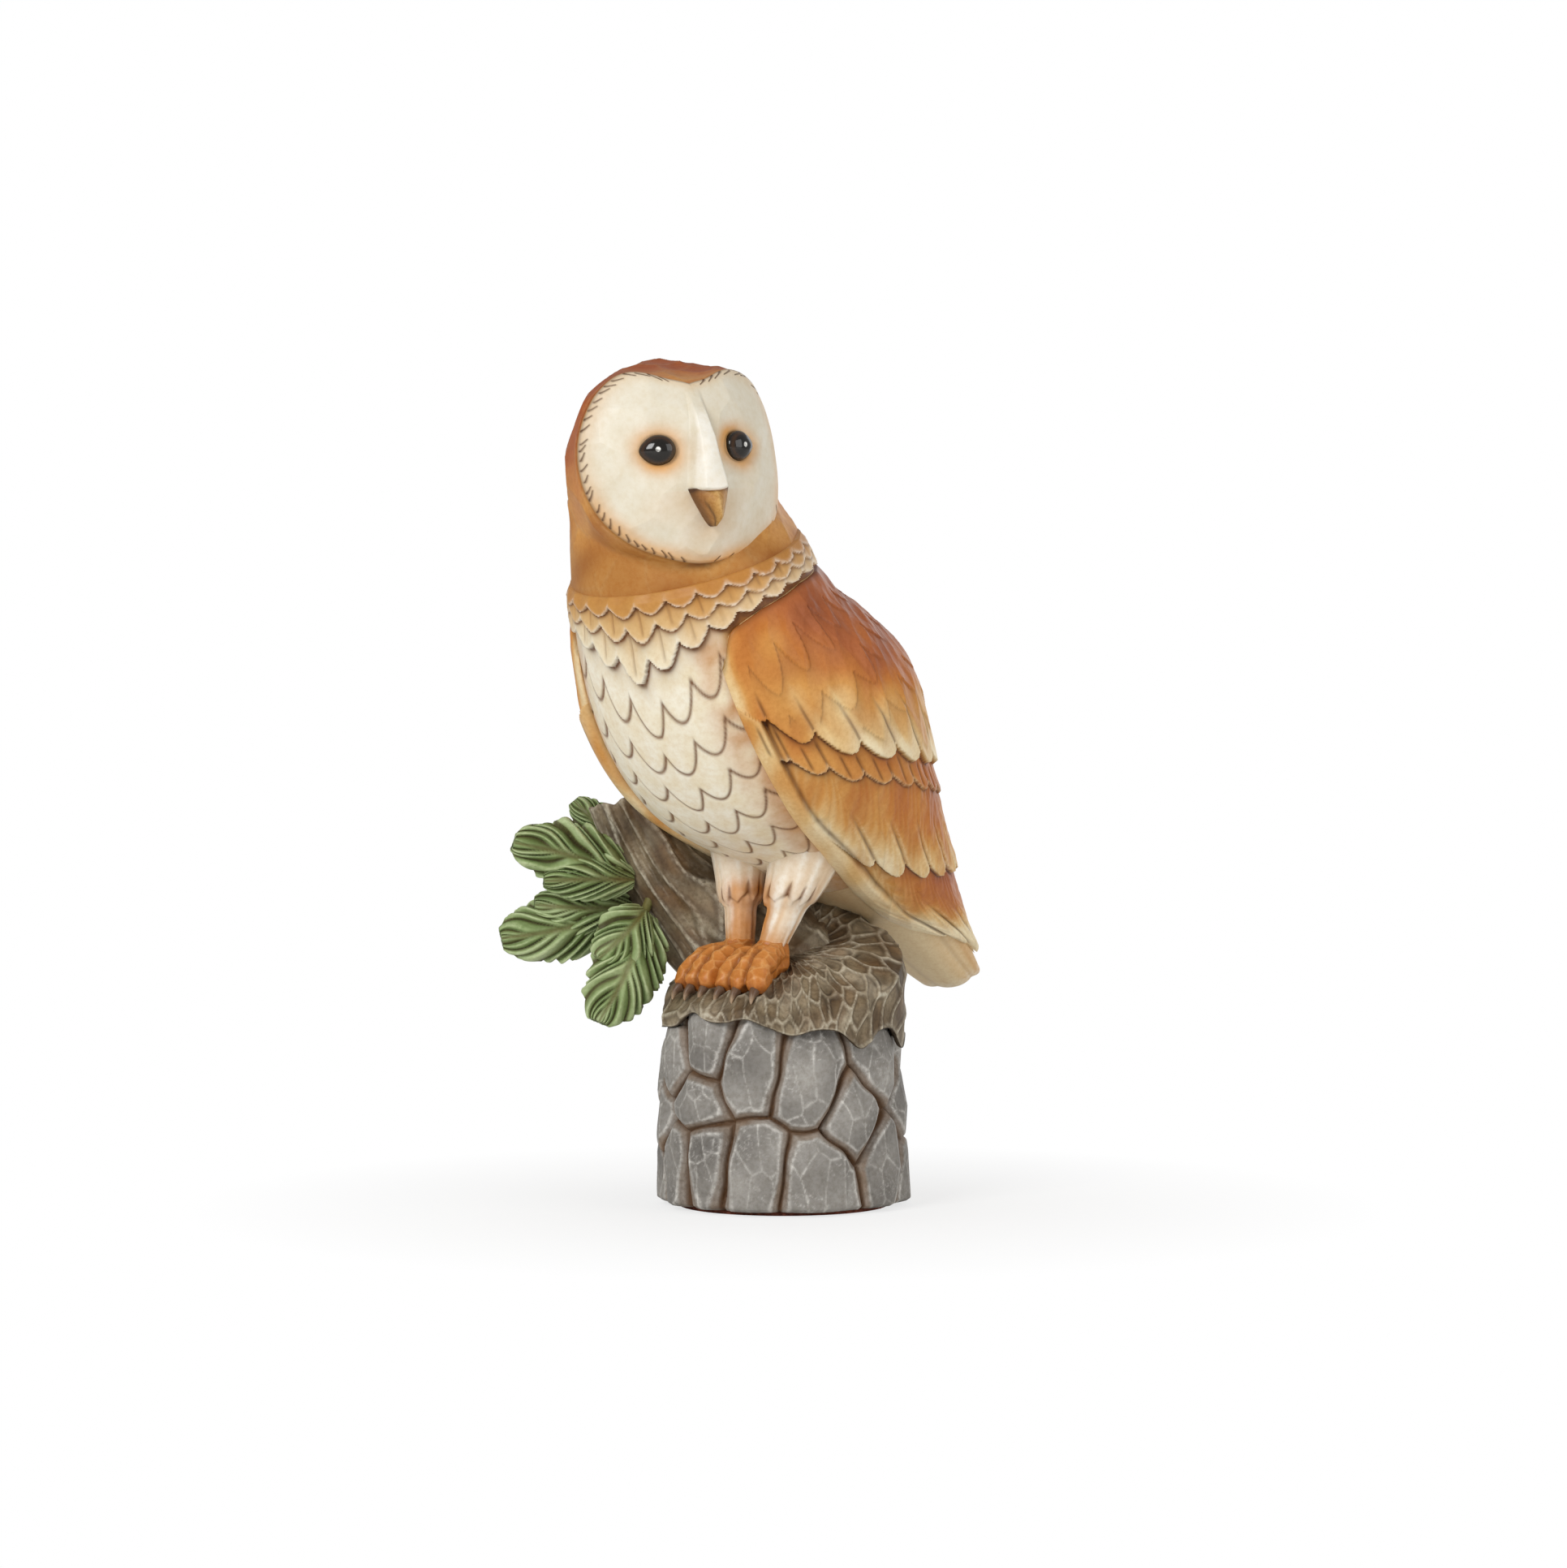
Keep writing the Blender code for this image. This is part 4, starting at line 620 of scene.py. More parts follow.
def needleBunch(start, ahead, over, out, length, width, bow, count, seed, rows, cols):
    # one carved bunch of needles: a lens round a bowed spine, rounded at both ends. Ridges sweep
    # forward from the spine to the edge, sharp valleys between them and fine strokes along them, and a
    # groove for the stem; both faces are carved
    s = needle
    t = column(0, 1, rows) - 0.01
    a = circle(cols)
    x, facing = np.cos(a), np.sin(a)  # across the bunch, and towards or away from the viewer
    bend = wander(at(t * length, x * width * mm / 2, 20 * mm * np.sign(facing)), 13 * mm, seed)
    x1, far = np.abs(x), x > 0
    lean = t - s["sweep"] * (x1 ** 0.85) * (18.5 / max(width, 12)) * 0.85
    uneven = 0.26 * np.sin(lean * count * 2.3 + seed + 2 * far)  # some needles wider than others
    phase = lean * count * 1.1 + 0.2 * bend + uneven + 0.37 * far
    f = phase % 1.0
    which = np.floor(phase).astype(int) * 2 + far
    dice = np.random.default_rng(seed)
    own = dice.uniform(-1, 1, 80)[which % 80]
    # rises slowly and falls fast, as needles overlap
    ridge = np.where(f < 0.68, ease(-0.1, 0.68, f), ease(1.04, 0.68, f))
    reach = 0.16 + 0.84 * np.sin(np.pi * clamp(0.05 + 0.94 * t)) ** 0.62
    reach = reach * (1 - s["scallop"] * (1 - ridge) * ease(0.35, 1.0, x1) + 0.08 * own * x1)
    edge = clamp(1 - x1 ** 2.6) ** 0.5
    body = np.sin(np.pi * clamp(0.04 + 0.93 * t)) ** 0.5
    fine = np.sin(f * turn * 2 + 2 * own + 0.5 * bend)
    carve = s["ridge"] * (ridge - 0.7 + 0.35 * own) * ease(0.0, 0.3, x1) * body
    carve = carve + 0.08 * mm * fine * ease(0.06, 0.3, x1)
    spine = line(x1 * width * mm / 2, 0.7 * mm)
    tall = s["thick"] * edge * body * (0.75 + 0.25 * (1 - x1)) + carve * clamp(edge * 1.6)
    tall = np.maximum(tall - 0.7 * mm * spine * body, 0.05 * mm * edge)
    sag = 1.2 * mm * np.sin(np.pi * clamp(t)) - 1.4 * mm * x1 ** 2 * body
    aside = bow * mm * np.sin(np.pi * t) + x * reach * width * mm / 2
    grid = start + ahead * (length * t)[..., None] + over * aside[..., None]
    grid = grid + out * (np.sign(facing) * tall + sag)[..., None]
    valley = np.maximum(line(f, 0.2), line(1 - f, 0.06)) * ease(0.04, 0.2, x1)
    light = mottle(grid, 11 * mm, seed + 20)
    return shell(grid, dict(
        tone=0.46 + 0.3 * ridge + 0.24 * own + 0.16 * light - 0.12 * (1 - x1),
        wash=0.95 * valley + 0.25 * clamp(-fine - 0.2) * (1 - light) + 0.4 * spine,
        brush=0.7 * ease(0.6, 1.0, ridge) * ease(0.1, 0.6, x1) * (0.35 + 0.65 * light) * clamp(fine + 0.7),
        blush=0.7 * spine + 0.55 * ease(0.45, 0.0, t) * (1 - light) + 0.45 * valley))


def buildSprig(station, root, tip, width, bow, count, seed, upper):
    # a bunch from its root at the limb to its tip, a shorter one laid over it and turned aside, and a
    # twig that runs back into the limb
    s = needle
    start = limbPoint(np.array(station)) + np.array(root) * mm
    stop = np.array(tip) * mm + np.array((0, 0, plinthTop))
    length = np.linalg.norm(stop - start) * s["cut"]
    ahead = unit(stop - start)
    over = unit(np.cross(ahead, np.array((0, -1.0, 0))))
    out = np.cross(over, ahead)
    out = out if out[1] < 0 else -out
    shells = [needleBunch(start, ahead, over, out, length, width, bow, count, seed, s["rows"], s["cols"])]
    if upper:
        share, aside, slim = upper
        c, d = np.cos(np.radians(aside)), np.sin(np.radians(aside))
        shells.append(needleBunch(
            start + out * s["upperLift"], ahead * c + over * d, over * c - ahead * d, out, length * share,
            width * slim, 0.6 * bow, round(count * share) + 1, seed + 40, s["upperRows"], s["upperCols"]))
    p = np.linspace(-0.32, 0.12, s["twigRows"])
    thin = np.interp(p, (-0.32, 0.05, 0.12), (s["stem"], 1.0 * mm, 0.35 * mm))
    twig = start + ahead * (length * p)[:, None] + over * (bow * mm * np.sin(np.pi * clamp(p)))[:, None]
    twig = twig + out * (1.5 * mm * np.clip(p * 6, -0.4, 1))[:, None]
    flat = (np.broadcast_to(way, twig.shape) for way in (over, out))
    return shells + [shell(tube(twig, thin, thin, *flat), dict(tone=0.4, blush=0.9, wash=0.2))]


for name, *place in sprigs:
    addPiece(name, buildSprig(*place), needlePaint)

# Owl body: sections along the spine (back, height, lean in degrees, half width, breast depth, rump depth)
owl = dict(x=-4.6 * mm, y=-4.0 * mm, z=57.1 * mm, yaw=np.radians(-42.0), tailSeam=86.0 * mm)
bodyW, bodyD = 69.0 * mm, 59.0 * mm
sections = np.array(((-0.0270, 0.0935, 20, 0.0270, 0.0262, 0.0262),
                     (-0.0230, 0.0840, 16, 0.85 * bodyW / 2, 0.46 * bodyD, 0.47 * bodyD),
                     (-0.0120, 0.0710, 32, 0.97 * bodyW / 2, 0.58 * bodyD, 0.44 * bodyD),
                     (0.0020, 0.0550, 41, bodyW / 2, 0.58 * bodyD, 0.48 * bodyD),
                     (0.0170, 0.0400, 45, 0.85 * bodyW / 2, 0.43 * bodyD, 0.38 * bodyD),
                     (0.0330, 0.0250, 46, 0.64 * bodyW / 2, 0.28 * bodyD, 0.27 * bodyD),
                     (0.0500, 0.0095, 46, 0.42 * bodyW / 2, 0.16 * bodyD, 0.17 * bodyD),
                     (0.0674, -0.0056, 46, 0.28 * bodyW / 2, 0.06 * bodyD, 0.07 * bodyD)))
spineRun = np.concatenate([[0], np.hypot(*np.diff(sections[:, :2], axis=0).T).cumsum()])


def owlToWorld(points):
    # turn by the owl's yaw, then set down on the perch
    return spin(points, owl["yaw"]) + np.array((owl["x"], owl["y"], owl["z"]))


def bodyPoint(length, angle, lift):
    # point on the owl: half ellipses for breast and rump on a leaning section of the spine, raised
    # square to them
    back, height, lean, width, breast, rump = (smoothThrough(spineRun, c, length) for c in sections.T)
    depth = np.where(np.cos(angle) > 0, breast, rump)
    nx, ny = np.sin(angle) / width, np.cos(angle) / depth
    n = np.hypot(nx, ny)
    across, fore = width * np.sin(angle) + lift * nx / n, depth * np.cos(angle) + lift * ny / n
    lean = np.radians(lean)
    return owlToWorld(at(across, back - fore * np.cos(lean), height - fore * np.sin(lean)))


def collarHem(angle):
    # spine length of the collar's hem, by the angle from the breast, a little turned to the owl's left
    away = np.degrees(np.abs(fold(angle - np.radians(10))))
    return np.interp(away, (0, 30, 60, 90, 180), (0.0195, 0.0140, 0.0091, 0.0066, 0.0066))


def wingFront(length):
    # angle of the wing's front edge, by spine length
    runs = (0, 0.018, 0.045, 0.060, 0.075, 0.090, 0.103, 0.110, 0.118, 0.129, 0.137)
    return np.radians(smoothThrough(runs, (46, 44, 41, 38, 34, 29, 29, 38, 52, 73, 88), length))


# Torso: plain carved feather collar, cream belly with incised feather rows
torso = dict(rows=288, cols=330, crowd=0.58, collarRows=3, collarFeathers=24, collarDrop=0.55,
             collarPoint=1.9, collarLift=0.7 * mm, featherLift=0.75 * mm, scaleRows=8, scaleFeathers=24,
             scalePitch=8.4 * mm, scaleDrop=4.6 * mm, cut=0.32 * mm)
creamSet = dict(
    run=((0.0, "#b5793a"), (0.3, "#c58f49"), (0.6, "#dcb983"), (0.85, "#ecdfc1"), (1.0, "#f3ecd9")),
    wash="#70421b", brush="#f8f3e8", blush="#c2812f", shade="#f4ede2", cloud=10 * mm, fine=1.4 * mm,
    drift=0.10, rough=(0.4, 0.52), grain=0.22)
torsoPaint = paintedResin("painted cast resin, cream breast", creamSet)


def buildTorso():
    # the body's surface, crowded towards the breast: collar rows of pointed feathers that rise to their
    # tips, then belly with shallow incised feather rows; paint follows the same rows
    s = torso
    b = np.arange(s["cols"]) * turn / s["cols"]
    angle = (b - s["crowd"] * np.sin(b))[None]
    length = np.linspace(0, owl["tailSeam"], s["rows"])[:, None]
    length, angle = np.broadcast_arrays(length, angle)
    hem = collarHem(angle)
    pitch = hem / s["collarRows"]
    row, f, left, past = shingles(angle / turn * s["collarFeathers"], length / pitch, s["collarRows"], 1.0,
                                  1.35, s["collarDrop"], s["collarPoint"])
    left, past = left * pitch, past * pitch
    collar, below = row < s["collarRows"], row > 0
    midrib = (f - 0.5) * 8 * mm
    rise = s["collarLift"] * ease(0, 2.5 * mm, length) + s["featherLift"] * clamp(1 - left / (5.5 * mm))
    rise = rise - 0.35 * mm * line(midrib, 0.35 * mm) * ease(0.4 * mm, 2 * mm, left) * below
    _, _, leftB, pastB = shingles(angle / turn * s["scaleFeathers"], length - hem, s["scaleRows"],
                                  s["scalePitch"], 8.6 * mm, s["scaleDrop"], 2.0)
    aside = np.abs(fold(angle))
    front = ease(np.radians(56), np.radians(44), aside) * ease(0.083, 0.074, length)
    cut = line(np.minimum(leftB, pastB), 0.34 * mm) * front * ~collar
    lift = np.where(collar, rise, -s["cut"] * cut + 0.22 * mm * clamp(1 - leftB / (7 * mm)) * front)
    grid = bodyPoint(length, angle, lift)
    facet = wander(grid, 9 * mm, 61)
    sides = ease(np.radians(22), np.radians(46), aside)
    beside = ease(np.radians(19), np.radians(1), wingFront(length) - aside)  # rubbed brown along the wings
    hidden = ease(np.radians(2), np.radians(12), aside - wingFront(length))  # brown in the wings' parting
    ruff = 0.18 + 0.27 * row + 0.14 * (1 - clamp(left / (5 * mm))) - 0.14 * sides
    tone = np.where(collar, ruff, 0.95 + 0.06 * facet - 0.9 * hidden)
    edges = (0.9 - 0.3 * sides) * line(past, 0.09 * pitch + 0.2 * mm) * below
    edges = edges + 0.3 * line(past, 0.3 * pitch) * below
    edges = edges + 0.45 * line(midrib, 0.3 * mm) * ease(0.6 * mm, 2 * mm, left) * below
    breast = 0.95 * cut + 0.85 * line(past, 0.7 * mm) + 0.3 * line(past, 2.0 * mm) + 0.5 * hidden
    wash = np.where(collar, edges, breast)
    brush = np.where(collar, 0.55 * line(left, 0.5 * mm), 0)
    rubbed = 0.95 * beside ** 1.3 * clamp(0.75 + 0.5 * facet) + 0.45 * ease(0.07, 0.084, length)
    blush = np.where(collar, 0.2 * sides, rubbed)
    return [shell(grid, dict(tone=tone, wash=wash, brush=brush, blush=blush))]


addPiece("torso", buildTorso(), torsoPaint)

# Tail: long feathers under the wings, pale below
tail = dict(rows=120, cols=180, feathers=6, notch=0.5 * mm, start=86.3 * mm, cut=0.4 * mm)
tailPaint = paintedResin("painted cast resin, tan tail", dict(
    creamSet, run=((0.0, "#a8703c"), (0.4, "#c79a62"), (0.7, "#dfc294"), (1.0, "#eedab2")), blush="#b87a44",
    drift=0.3, fine=1.0 * mm))


def buildTail():
    # the body's surface past the tail seam, a groove between feathers, each ending in a rounded tip
    s = tail
    a = circle(s["cols"])
    f = (a / turn * s["feathers"]) % 1.0
    end = spineRun[-1] - 0.4 * mm - s["notch"] * np.abs(2 * f - 1) ** 2
    t = column(0, 1, s["rows"])
    length = s["start"] + (end - s["start"]) * t
    gap = np.minimum(f, 1 - f) * 7 * mm * (1 - 0.5 * t)
    lift = -0.5 * s["cut"] * line(gap, 0.4 * mm) * ease(0.2, 0.6, t)
    lift = lift + 2.0 * mm * ease(0.3, 1.0, np.cos(a)) * ease(0.3, 0.95, t) - 0.15 * mm
    streak = wander(at(f * 20 * mm, a * 9 * mm, length * 0.18), 5 * mm, 71)
    under = 0.5 + 0.5 * np.cos(a)
    paint = dict(tone=0.46 + 0.46 * under + 0.10 * streak, brush=0.4 * ease(0.93, 1, t),
                 wash=0.2 * line(gap, 0.35 * mm) * ease(0.2, 0.6, t),
                 blush=0.4 * (1 - under) + 0.2 * ease(0.3, 0, t))
    return [shell(bodyPoint(length, a, lift), paint)]


addPiece("tail", buildTail(), tailPaint)

# Wings: shoulder with small coverts, band, long coverts and primaries; edges of the first two tiers are
# given by share across the wing, in mm along the spine
wing = dict(rows=300, cols=240, inner=20, thick=4.4 * mm, tip=134.0 * mm, sweep=24.0 * mm, parting=0.6 * mm,
            topClear=0.9 * mm, shares=(0, 0.1, 0.25, 0.43, 0.6, 1), tierOne=(25, 33, 46.5, 62, 72, 84),
            tierTwo=(48, 74, 88, 98, 104, 112), band=9.0 * mm, small=11, leaves=13, long=10, primaries=8,
            notch=2.4 * mm, rim=4.4 * mm, points=(4.4, 3.0, 5.0), shifts=(0.3, 0.1, 0.6),
            steps=(0.0, 0.95, 1.25, 2.0), flat=(5.4 * mm, 4.6 * mm), flatStretch=3.2, flatCut=0.30 * mm)
wingPaint = paintedResin("painted cast resin, russet wing", dict(
    run=((0.0, "#94502e"), (0.2, "#af6437"), (0.42, "#c37936"), (0.6, "#d39850"), (0.8, "#e5c38a"),
         (1.0, "#f2e2bd")), wash="#4b2713", brush="#efdfb8", blush="#92502e", shade="#f1e8dd", cloud=9 * mm,
    fine=1.0 * mm, drift=0.10, rough=(0.34, 0.46), grain=0.14, sheen=0.2))


def buildWing(side):
    # plate over the body between its front edge and the parting at the back. Outer face: tiers of
    # feathers, each tier a step lower than the one above and rising to its tips, with a groove between
    # feathers and long knife flats; inner face lies just off the body
    s = wing
    share = (np.linspace(0, 1, s["cols"]) ** 1.25)[None]  # closer together at the front
    v = column(0, 1, s["rows"])
    first = wingFront(0.02)
    top = collarHem(side * (first + share * (np.pi - first))) + s["topClear"]
    top = top + 5.0 * mm * (1 - ease(0, 0.09, share)) ** 2  # rounded off at the front
    fLast = (share * s["primaries"]) % 1.0
    tip = s["tip"] - s["sweep"] * clamp(1 - 2 * share) ** 2 - 6.0 * mm * clamp(2 * share - 1) ** 2
    tip = tip - s["notch"] * np.abs(2 * fLast - 1) ** 2
    length = top + v * (tip - top)
    width = smoothThrough(spineRun, sections[:, 3], length)
    front = wingFront(length)
    angle = front + share * (np.pi - np.arcsin(np.clip(s["parting"] / width, 0, 0.9)) - front)
    one, two = (smoothThrough(s["shares"], s[key], share) * mm for key in ("tierOne", "tierTwo"))
    low, tier = top + 0 * length, np.zeros(length.shape, int)
    high, f, n = tip + 0 * length, fLast + 0 * length, np.full(length.shape, float(s["primaries"]))
    left, past = tip - length, np.full(length.shape, 1.0)
    found = np.zeros(length.shape, bool)
    inside = ease(0.02, 0.12, share)
    band = np.minimum(one + s["band"], (one + two) / 2)
    tiers = zip((one, band, two), (s["small"], s["leaves"], s["long"]), s["points"], s["shifts"])
    for k, (run, count, depth, offset) in enumerate(tiers):
        g = (share * count + offset) % 1.0
        side2 = np.abs(2 * g - 1)
        depth = depth * mm
        edge = run + depth * inside * (0.5 - side2 ** 1.9)
        steep = np.hypot(1, 2 * depth * 1.9 * side2 ** 0.9 / (85 * mm / count))
        here = ~found & (length < edge)
        high, f, n = np.where(here, edge, high), np.where(here, g, f), np.where(here, count, n)
        left = np.where(here, (edge - length) / steep, left)
        found = found | here
        low = np.where(found, low, edge)
        past = np.where(found, past, (length - edge) / steep)
        tier = np.where(found, tier, k + 1)
    t = clamp((length - low) / np.maximum(high - low, 1 * mm))
    span = (np.pi - front) * width
    gap = np.minimum(f, 1 - f) * span / n
    nearRim = share * span
    border = s["rim"] * (1 + 0.5 * ease(0.05, 0.08, length))
    upper = ease(0.102, 0.086, length)  # the raised border runs out towards the tip
    rim = ease(border, 0.75 * border, nearRim) * (tier > 0) * upper
    parts = ((0.62, 0.85), (0.05, 0.4), (0.35, 0.75), (0.3, 0.75))  # where the feathers of each tier part
    apart = np.choose(tier, [ease(start, stop, t) for start, stop in parts])
    step = np.choose(tier, s["steps"]) * mm
    last = tier == 3
    lift = s["thick"] - 2.9 * mm * ease(38 * mm, 0, length - top) - step - 0.9 * mm * last * t
    lift = lift + np.where(last, 0.15, 0.6) * mm * t ** 2
    lift = lift - 0.5 * mm * line(gap, 0.5 * mm) * apart + 0.5 * mm * (f - 0.5) * apart * (tier >= 2)
    flats = scatter(95 * mm, 0.14 / s["flatStretch"], *s["flat"], 81)
    near, second, _ = nearestTwo(at(nearRim + 0.55 * length, length / s["flatStretch"]), flats)
    hollow = np.clip((near / (3.0 * mm)) ** 2 - 0.5, -0.5, 0.7)
    lift = lift + s["flatCut"] * hollow * np.where(tier == 1, 0.4, 1.0)
    sway = 1.6 * mm * wander(at(nearRim, length, 0), 26 * mm, 83)
    _, _, leftS, pastS = shingles(share * 10 + 0.3 + 40 * sway, length - top + sway, 6, 13.5 * mm, 9 * mm,
                                  8.0 * mm, 1.6)
    # faint carved edges on the shoulder
    plain = (tier == 0) * ease(2.5 * mm, 5 * mm, left) * ease(0.02, 0.08, share)
    lift = lift + 0.3 * mm * clamp(1 - leftS / (6 * mm)) * plain
    barb = np.sin((f * span / n + 0.35 * (length - low)) * turn / (1.5 * mm)) * (tier >= 2)
    lift = lift + 0.05 * mm * barb
    shaft = line((f - 0.5) * span / n, 0.3 * mm) * ease(0.1, 0.35, t) * ease(0.97, 0.8, t) * (tier == 1)
    lift = lift - 0.35 * mm * shaft
    ridge = rim * (0.7 * mm - 0.9 * mm * (nearRim / border - 0.35) ** 2)
    valley = line(nearRim - border, 0.55 * mm) * (tier > 0) * upper
    lift = lift * (1 - rim) + (s["thick"] - 0.9 * mm - 1.5 * mm * v) * rim + ridge - 0.5 * mm * valley
    lift = lift * (0.35 + 0.65 * clamp(np.minimum(nearRim / (3.2 * mm), 9 * (1 - share))) ** 0.5)
    ends = np.minimum((length - top) / (3.0 * mm), (tip - length) / (1.8 * mm))
    lift = np.maximum(lift * (0.45 + 0.55 * clamp(ends) ** 0.5), 0.4 * mm)
    outer = bodyPoint(length, side * angle, lift)
    back = np.linspace(1, 0, s["inner"])
    # the inner face takes each row's values at fewer places, from back to front
    rowOf = lambda values: np.stack([np.interp(back, share[0], r) for r in values])
    grid = np.concatenate([outer, bodyPoint(rowOf(length), side * rowOf(angle), 0.12 * mm)], 1)
    drift = wander(outer, 14 * mm, 82)
    dice = np.random.default_rng(84)
    own = dice.uniform(-1, 1, 99)[(np.floor(share * n).astype(int) + 17 * tier) % 99]
    gold = ease(0.34, 0.06, share)  # the front of the shoulder is rubbed with gold
    tips = 0.74 * ease(38 * mm, 5 * mm, one - length) + 0.26 * ease(8 * mm, 1.0 * mm, left)
    tips = tips * ease(0.03, 0.26, share)
    shoulder = 0.14 + 0.27 * gold + 0.40 * ease(0.055, 0.0, share)
    shoulder = shoulder + (0.84 - 0.12 * share) * (1 - 0.4 * gold) * tips
    leaf = 0.40 + 0.12 * gold + 0.12 * t - 0.16 * share
    covert = 0.48 + 0.14 * gold + (0.34 - 0.1 * share) * ease(0.35, 0.95, t) - 0.12 * share
    primary = 0.16 + 0.60 * ease(25 * mm, 2 * mm, nearRim) + 0.32 * ease(0.35, 0.95, t)
    tone = np.choose(tier, (shoulder, leaf, covert, primary))
    tone = tone + 0.07 * drift + 0.05 * own + 0.03 * barb
    tone = tone * (1 - rim) + (0.70 + 0.2 * ease(0.04, 0.075, length) + 0.12 * drift) * rim
    wash = 0.9 * line(past, 0.55 * mm) + 0.3 * line(past, 1.8 * mm)
    wash = wash + 0.7 * line(gap, 0.32 * mm) * apart * (left > 0.3 * mm)
    wash = wash + 0.15 * line(second - near, 0.35 * mm) * (tier > 1) * (0.5 + 0.5 * drift)
    wash = wash + plain * (0.2 * line(pastS, 0.35 * mm) + 0.12 * line(pastS, 1.6 * mm))
    wash = wash * (1 - rim) + 0.6 * valley + 0.7 * shaft + 0.5 * line(length - top, 0.8 * mm)
    brush = 0.5 * line(left, 0.45 * mm) * (tier > 0)
    brush = (brush + 0.35 * line(gap - 0.9 * mm, 0.3 * mm) * apart * (tier >= 2)) * (1 - rim)
    brush = brush + 0.22 * line(nearRim - 1.2 * mm, 0.7 * mm) * clamp(drift + 0.4)
    blush = (0.32 * ease(0.3, 0.8, share) * (1 - 0.9 * t) + 0.22 * clamp(-drift)) * (1 - rim)
    paint = dict(tone=tone, wash=wash, brush=brush, blush=blush)
    paint = {key: np.concatenate([value, rowOf(value)], 1) for key, value in paint.items()}
    for key, value in (("tone", 0.82), ("wash", 0.1), ("blush", 0)):  # pale tan inside
        paint[key][:, s["cols"]:] = value
    return [shell(grid, paint)]


for hand, side in hands:
    addPiece(hand + "_wing", buildWing(side), wingPaint)

# Face and hood share one frame: x to the owl's left, -y forward
face = dict(place=(-26.0 * mm, -37.5 * mm, 171.7 * mm), yaw=np.radians(26.0), roll=np.radians(-4.0),
            turns=(0, 14, 32, 48, 60, 72, 90, 108, 120, 135, 158, 180),
            leftEdge=(17.4, 19.0, 24.0, 26.2, 25.3, 24.2, 23.6, 25.0, 26.3, 25.3, 23.1, 22.6),
            rightEdge=(17.4, 19.4, 24.4, 25.2, 25.0, 24.8, 24.5, 24.3, 24.1, 23.6, 22.6, 22.6),
            half=25.2 * mm, chin=22.9 * mm, depth=20.5 * mm, curve=14.5 * mm, nod=6.8 * mm, rim=2.0 * mm,
            rows=96, innerRows=56, cols=860, eyeX=9.6 * mm, eyeZ=3.0 * mm, eyeW=3.85 * mm, eyeH=3.45 * mm,
            eyeTurn=np.radians(24.0), bulge=2.4 * mm, beakTop=-6.4 * mm, beakTip=-14.6 * mm,
            beakHalf=4.5 * mm, reach=5.5 * mm, hollow=1.6 * mm, hollowRun=6.5 * mm, tickCut=0.3 * mm)
bridge = dict(top=14 * mm, run=20.5 * mm, half=(2.0, 2.9), high=(1.2, 3.9), under=0.5 * mm, arch=1.3 * mm,
              fade=(17 * mm, 10 * mm))


def faceToWorld(points):
    # roll about the face's own forward axis, turn by its yaw, then set in place
    c, s = np.cos(face["roll"]), np.sin(face["roll"])
    x, y, z = points[..., 0], points[..., 1], points[..., 2]
    return spin(at(c * x + s * z, y, c * z - s * x), face["yaw"]) + np.array(face["place"])


def worldToFace(points):
    # the way back from the world to the face's own frame
    c, s = np.cos(face["roll"]), np.sin(face["roll"])
    local = spin(points - np.array(face["place"]), -face["yaw"])
    x, z = local[..., 0], local[..., 2]
    return at(c * x - s * z, local[..., 1], c * z + s * x)


def faceOutline(angle):
    # heart outline: radius by the angle from the top, carved a little squarer on the owl's left
    away = fold(angle)
    left, right = (smoothThrough(face["turns"], face[key], np.degrees(np.abs(away))) * mm
                   for key in ("leftEdge", "rightEdge"))
    return np.where(away > 0, left, right)


def faceDome(x, z):
    # dish turned outwards: falls off with the square of the distance to the sides, brow and chin
    s = face
    return s["depth"] - s["curve"] * (x / s["half"]) ** 2 - s["nod"] * ((z + 4 * mm) / s["chin"]) ** 2


def onDisc(share, a):
    # across and up on the disc: a share of the outline, by the angle from the top
    reach = share * faceOutline(a)
    return reach * np.sin(a), reach * np.cos(a)


def discRing(share, a, *backs):
    # a ring of the disc's outline, drawn in to a share and set back from the dome
    x, z = onDisc(share, a)
    return at(x, sum(backs, -faceDome(x, z)), z)[0]


def noseShape(x, z):
    # long wedge between the eyes: grows wider and higher downwards, flat on top, cut off above the beak
    s = bridge
    t = clamp((s["top"] - z) / s["run"])
    half = (s["half"][0] + s["half"][1] * t ** 1.3) * mm
    high = (s["high"][0] + s["high"][1] * t) * mm
    floorZ = face["beakTop"] - s["under"] + s["arch"] * np.clip(np.abs(x) / half, 0, 1.2) ** 2
    wedge = high * ease(1.08, 0.52, np.abs(x) / half) * ease(floorZ - s["under"], floorZ + s["under"], z)
    return wedge * ease(*s["fade"], z)


def faceDepth(x, z):
    # dome, plus the nose wedge, less a hollow round each eye
    s = face
    away = (np.abs(x) - s["eyeX"]) ** 2 + (z - s["eyeZ"]) ** 2
    hollow = s["hollow"] * np.exp(-away / s["hollowRun"] ** 2)
    return faceDome(x, z) + noseShape(x, z) - hollow


facePaint = paintedResin("painted cast resin, ivory face", dict(
    run=((0.0, "#b98145"), (0.35, "#d8b27a"), (0.6, "#dbd0b8"), (0.8, "#e3dbc8"), (1.0, "#f3eee2")),
    wash="#54331a", brush="#f1ece0", blush="#dc9d4e", shade="#f8f4ec", cloud=12 * mm, fine=1.6 * mm,
    drift=0.06, rough=(0.38, 0.5), grain=0.15))


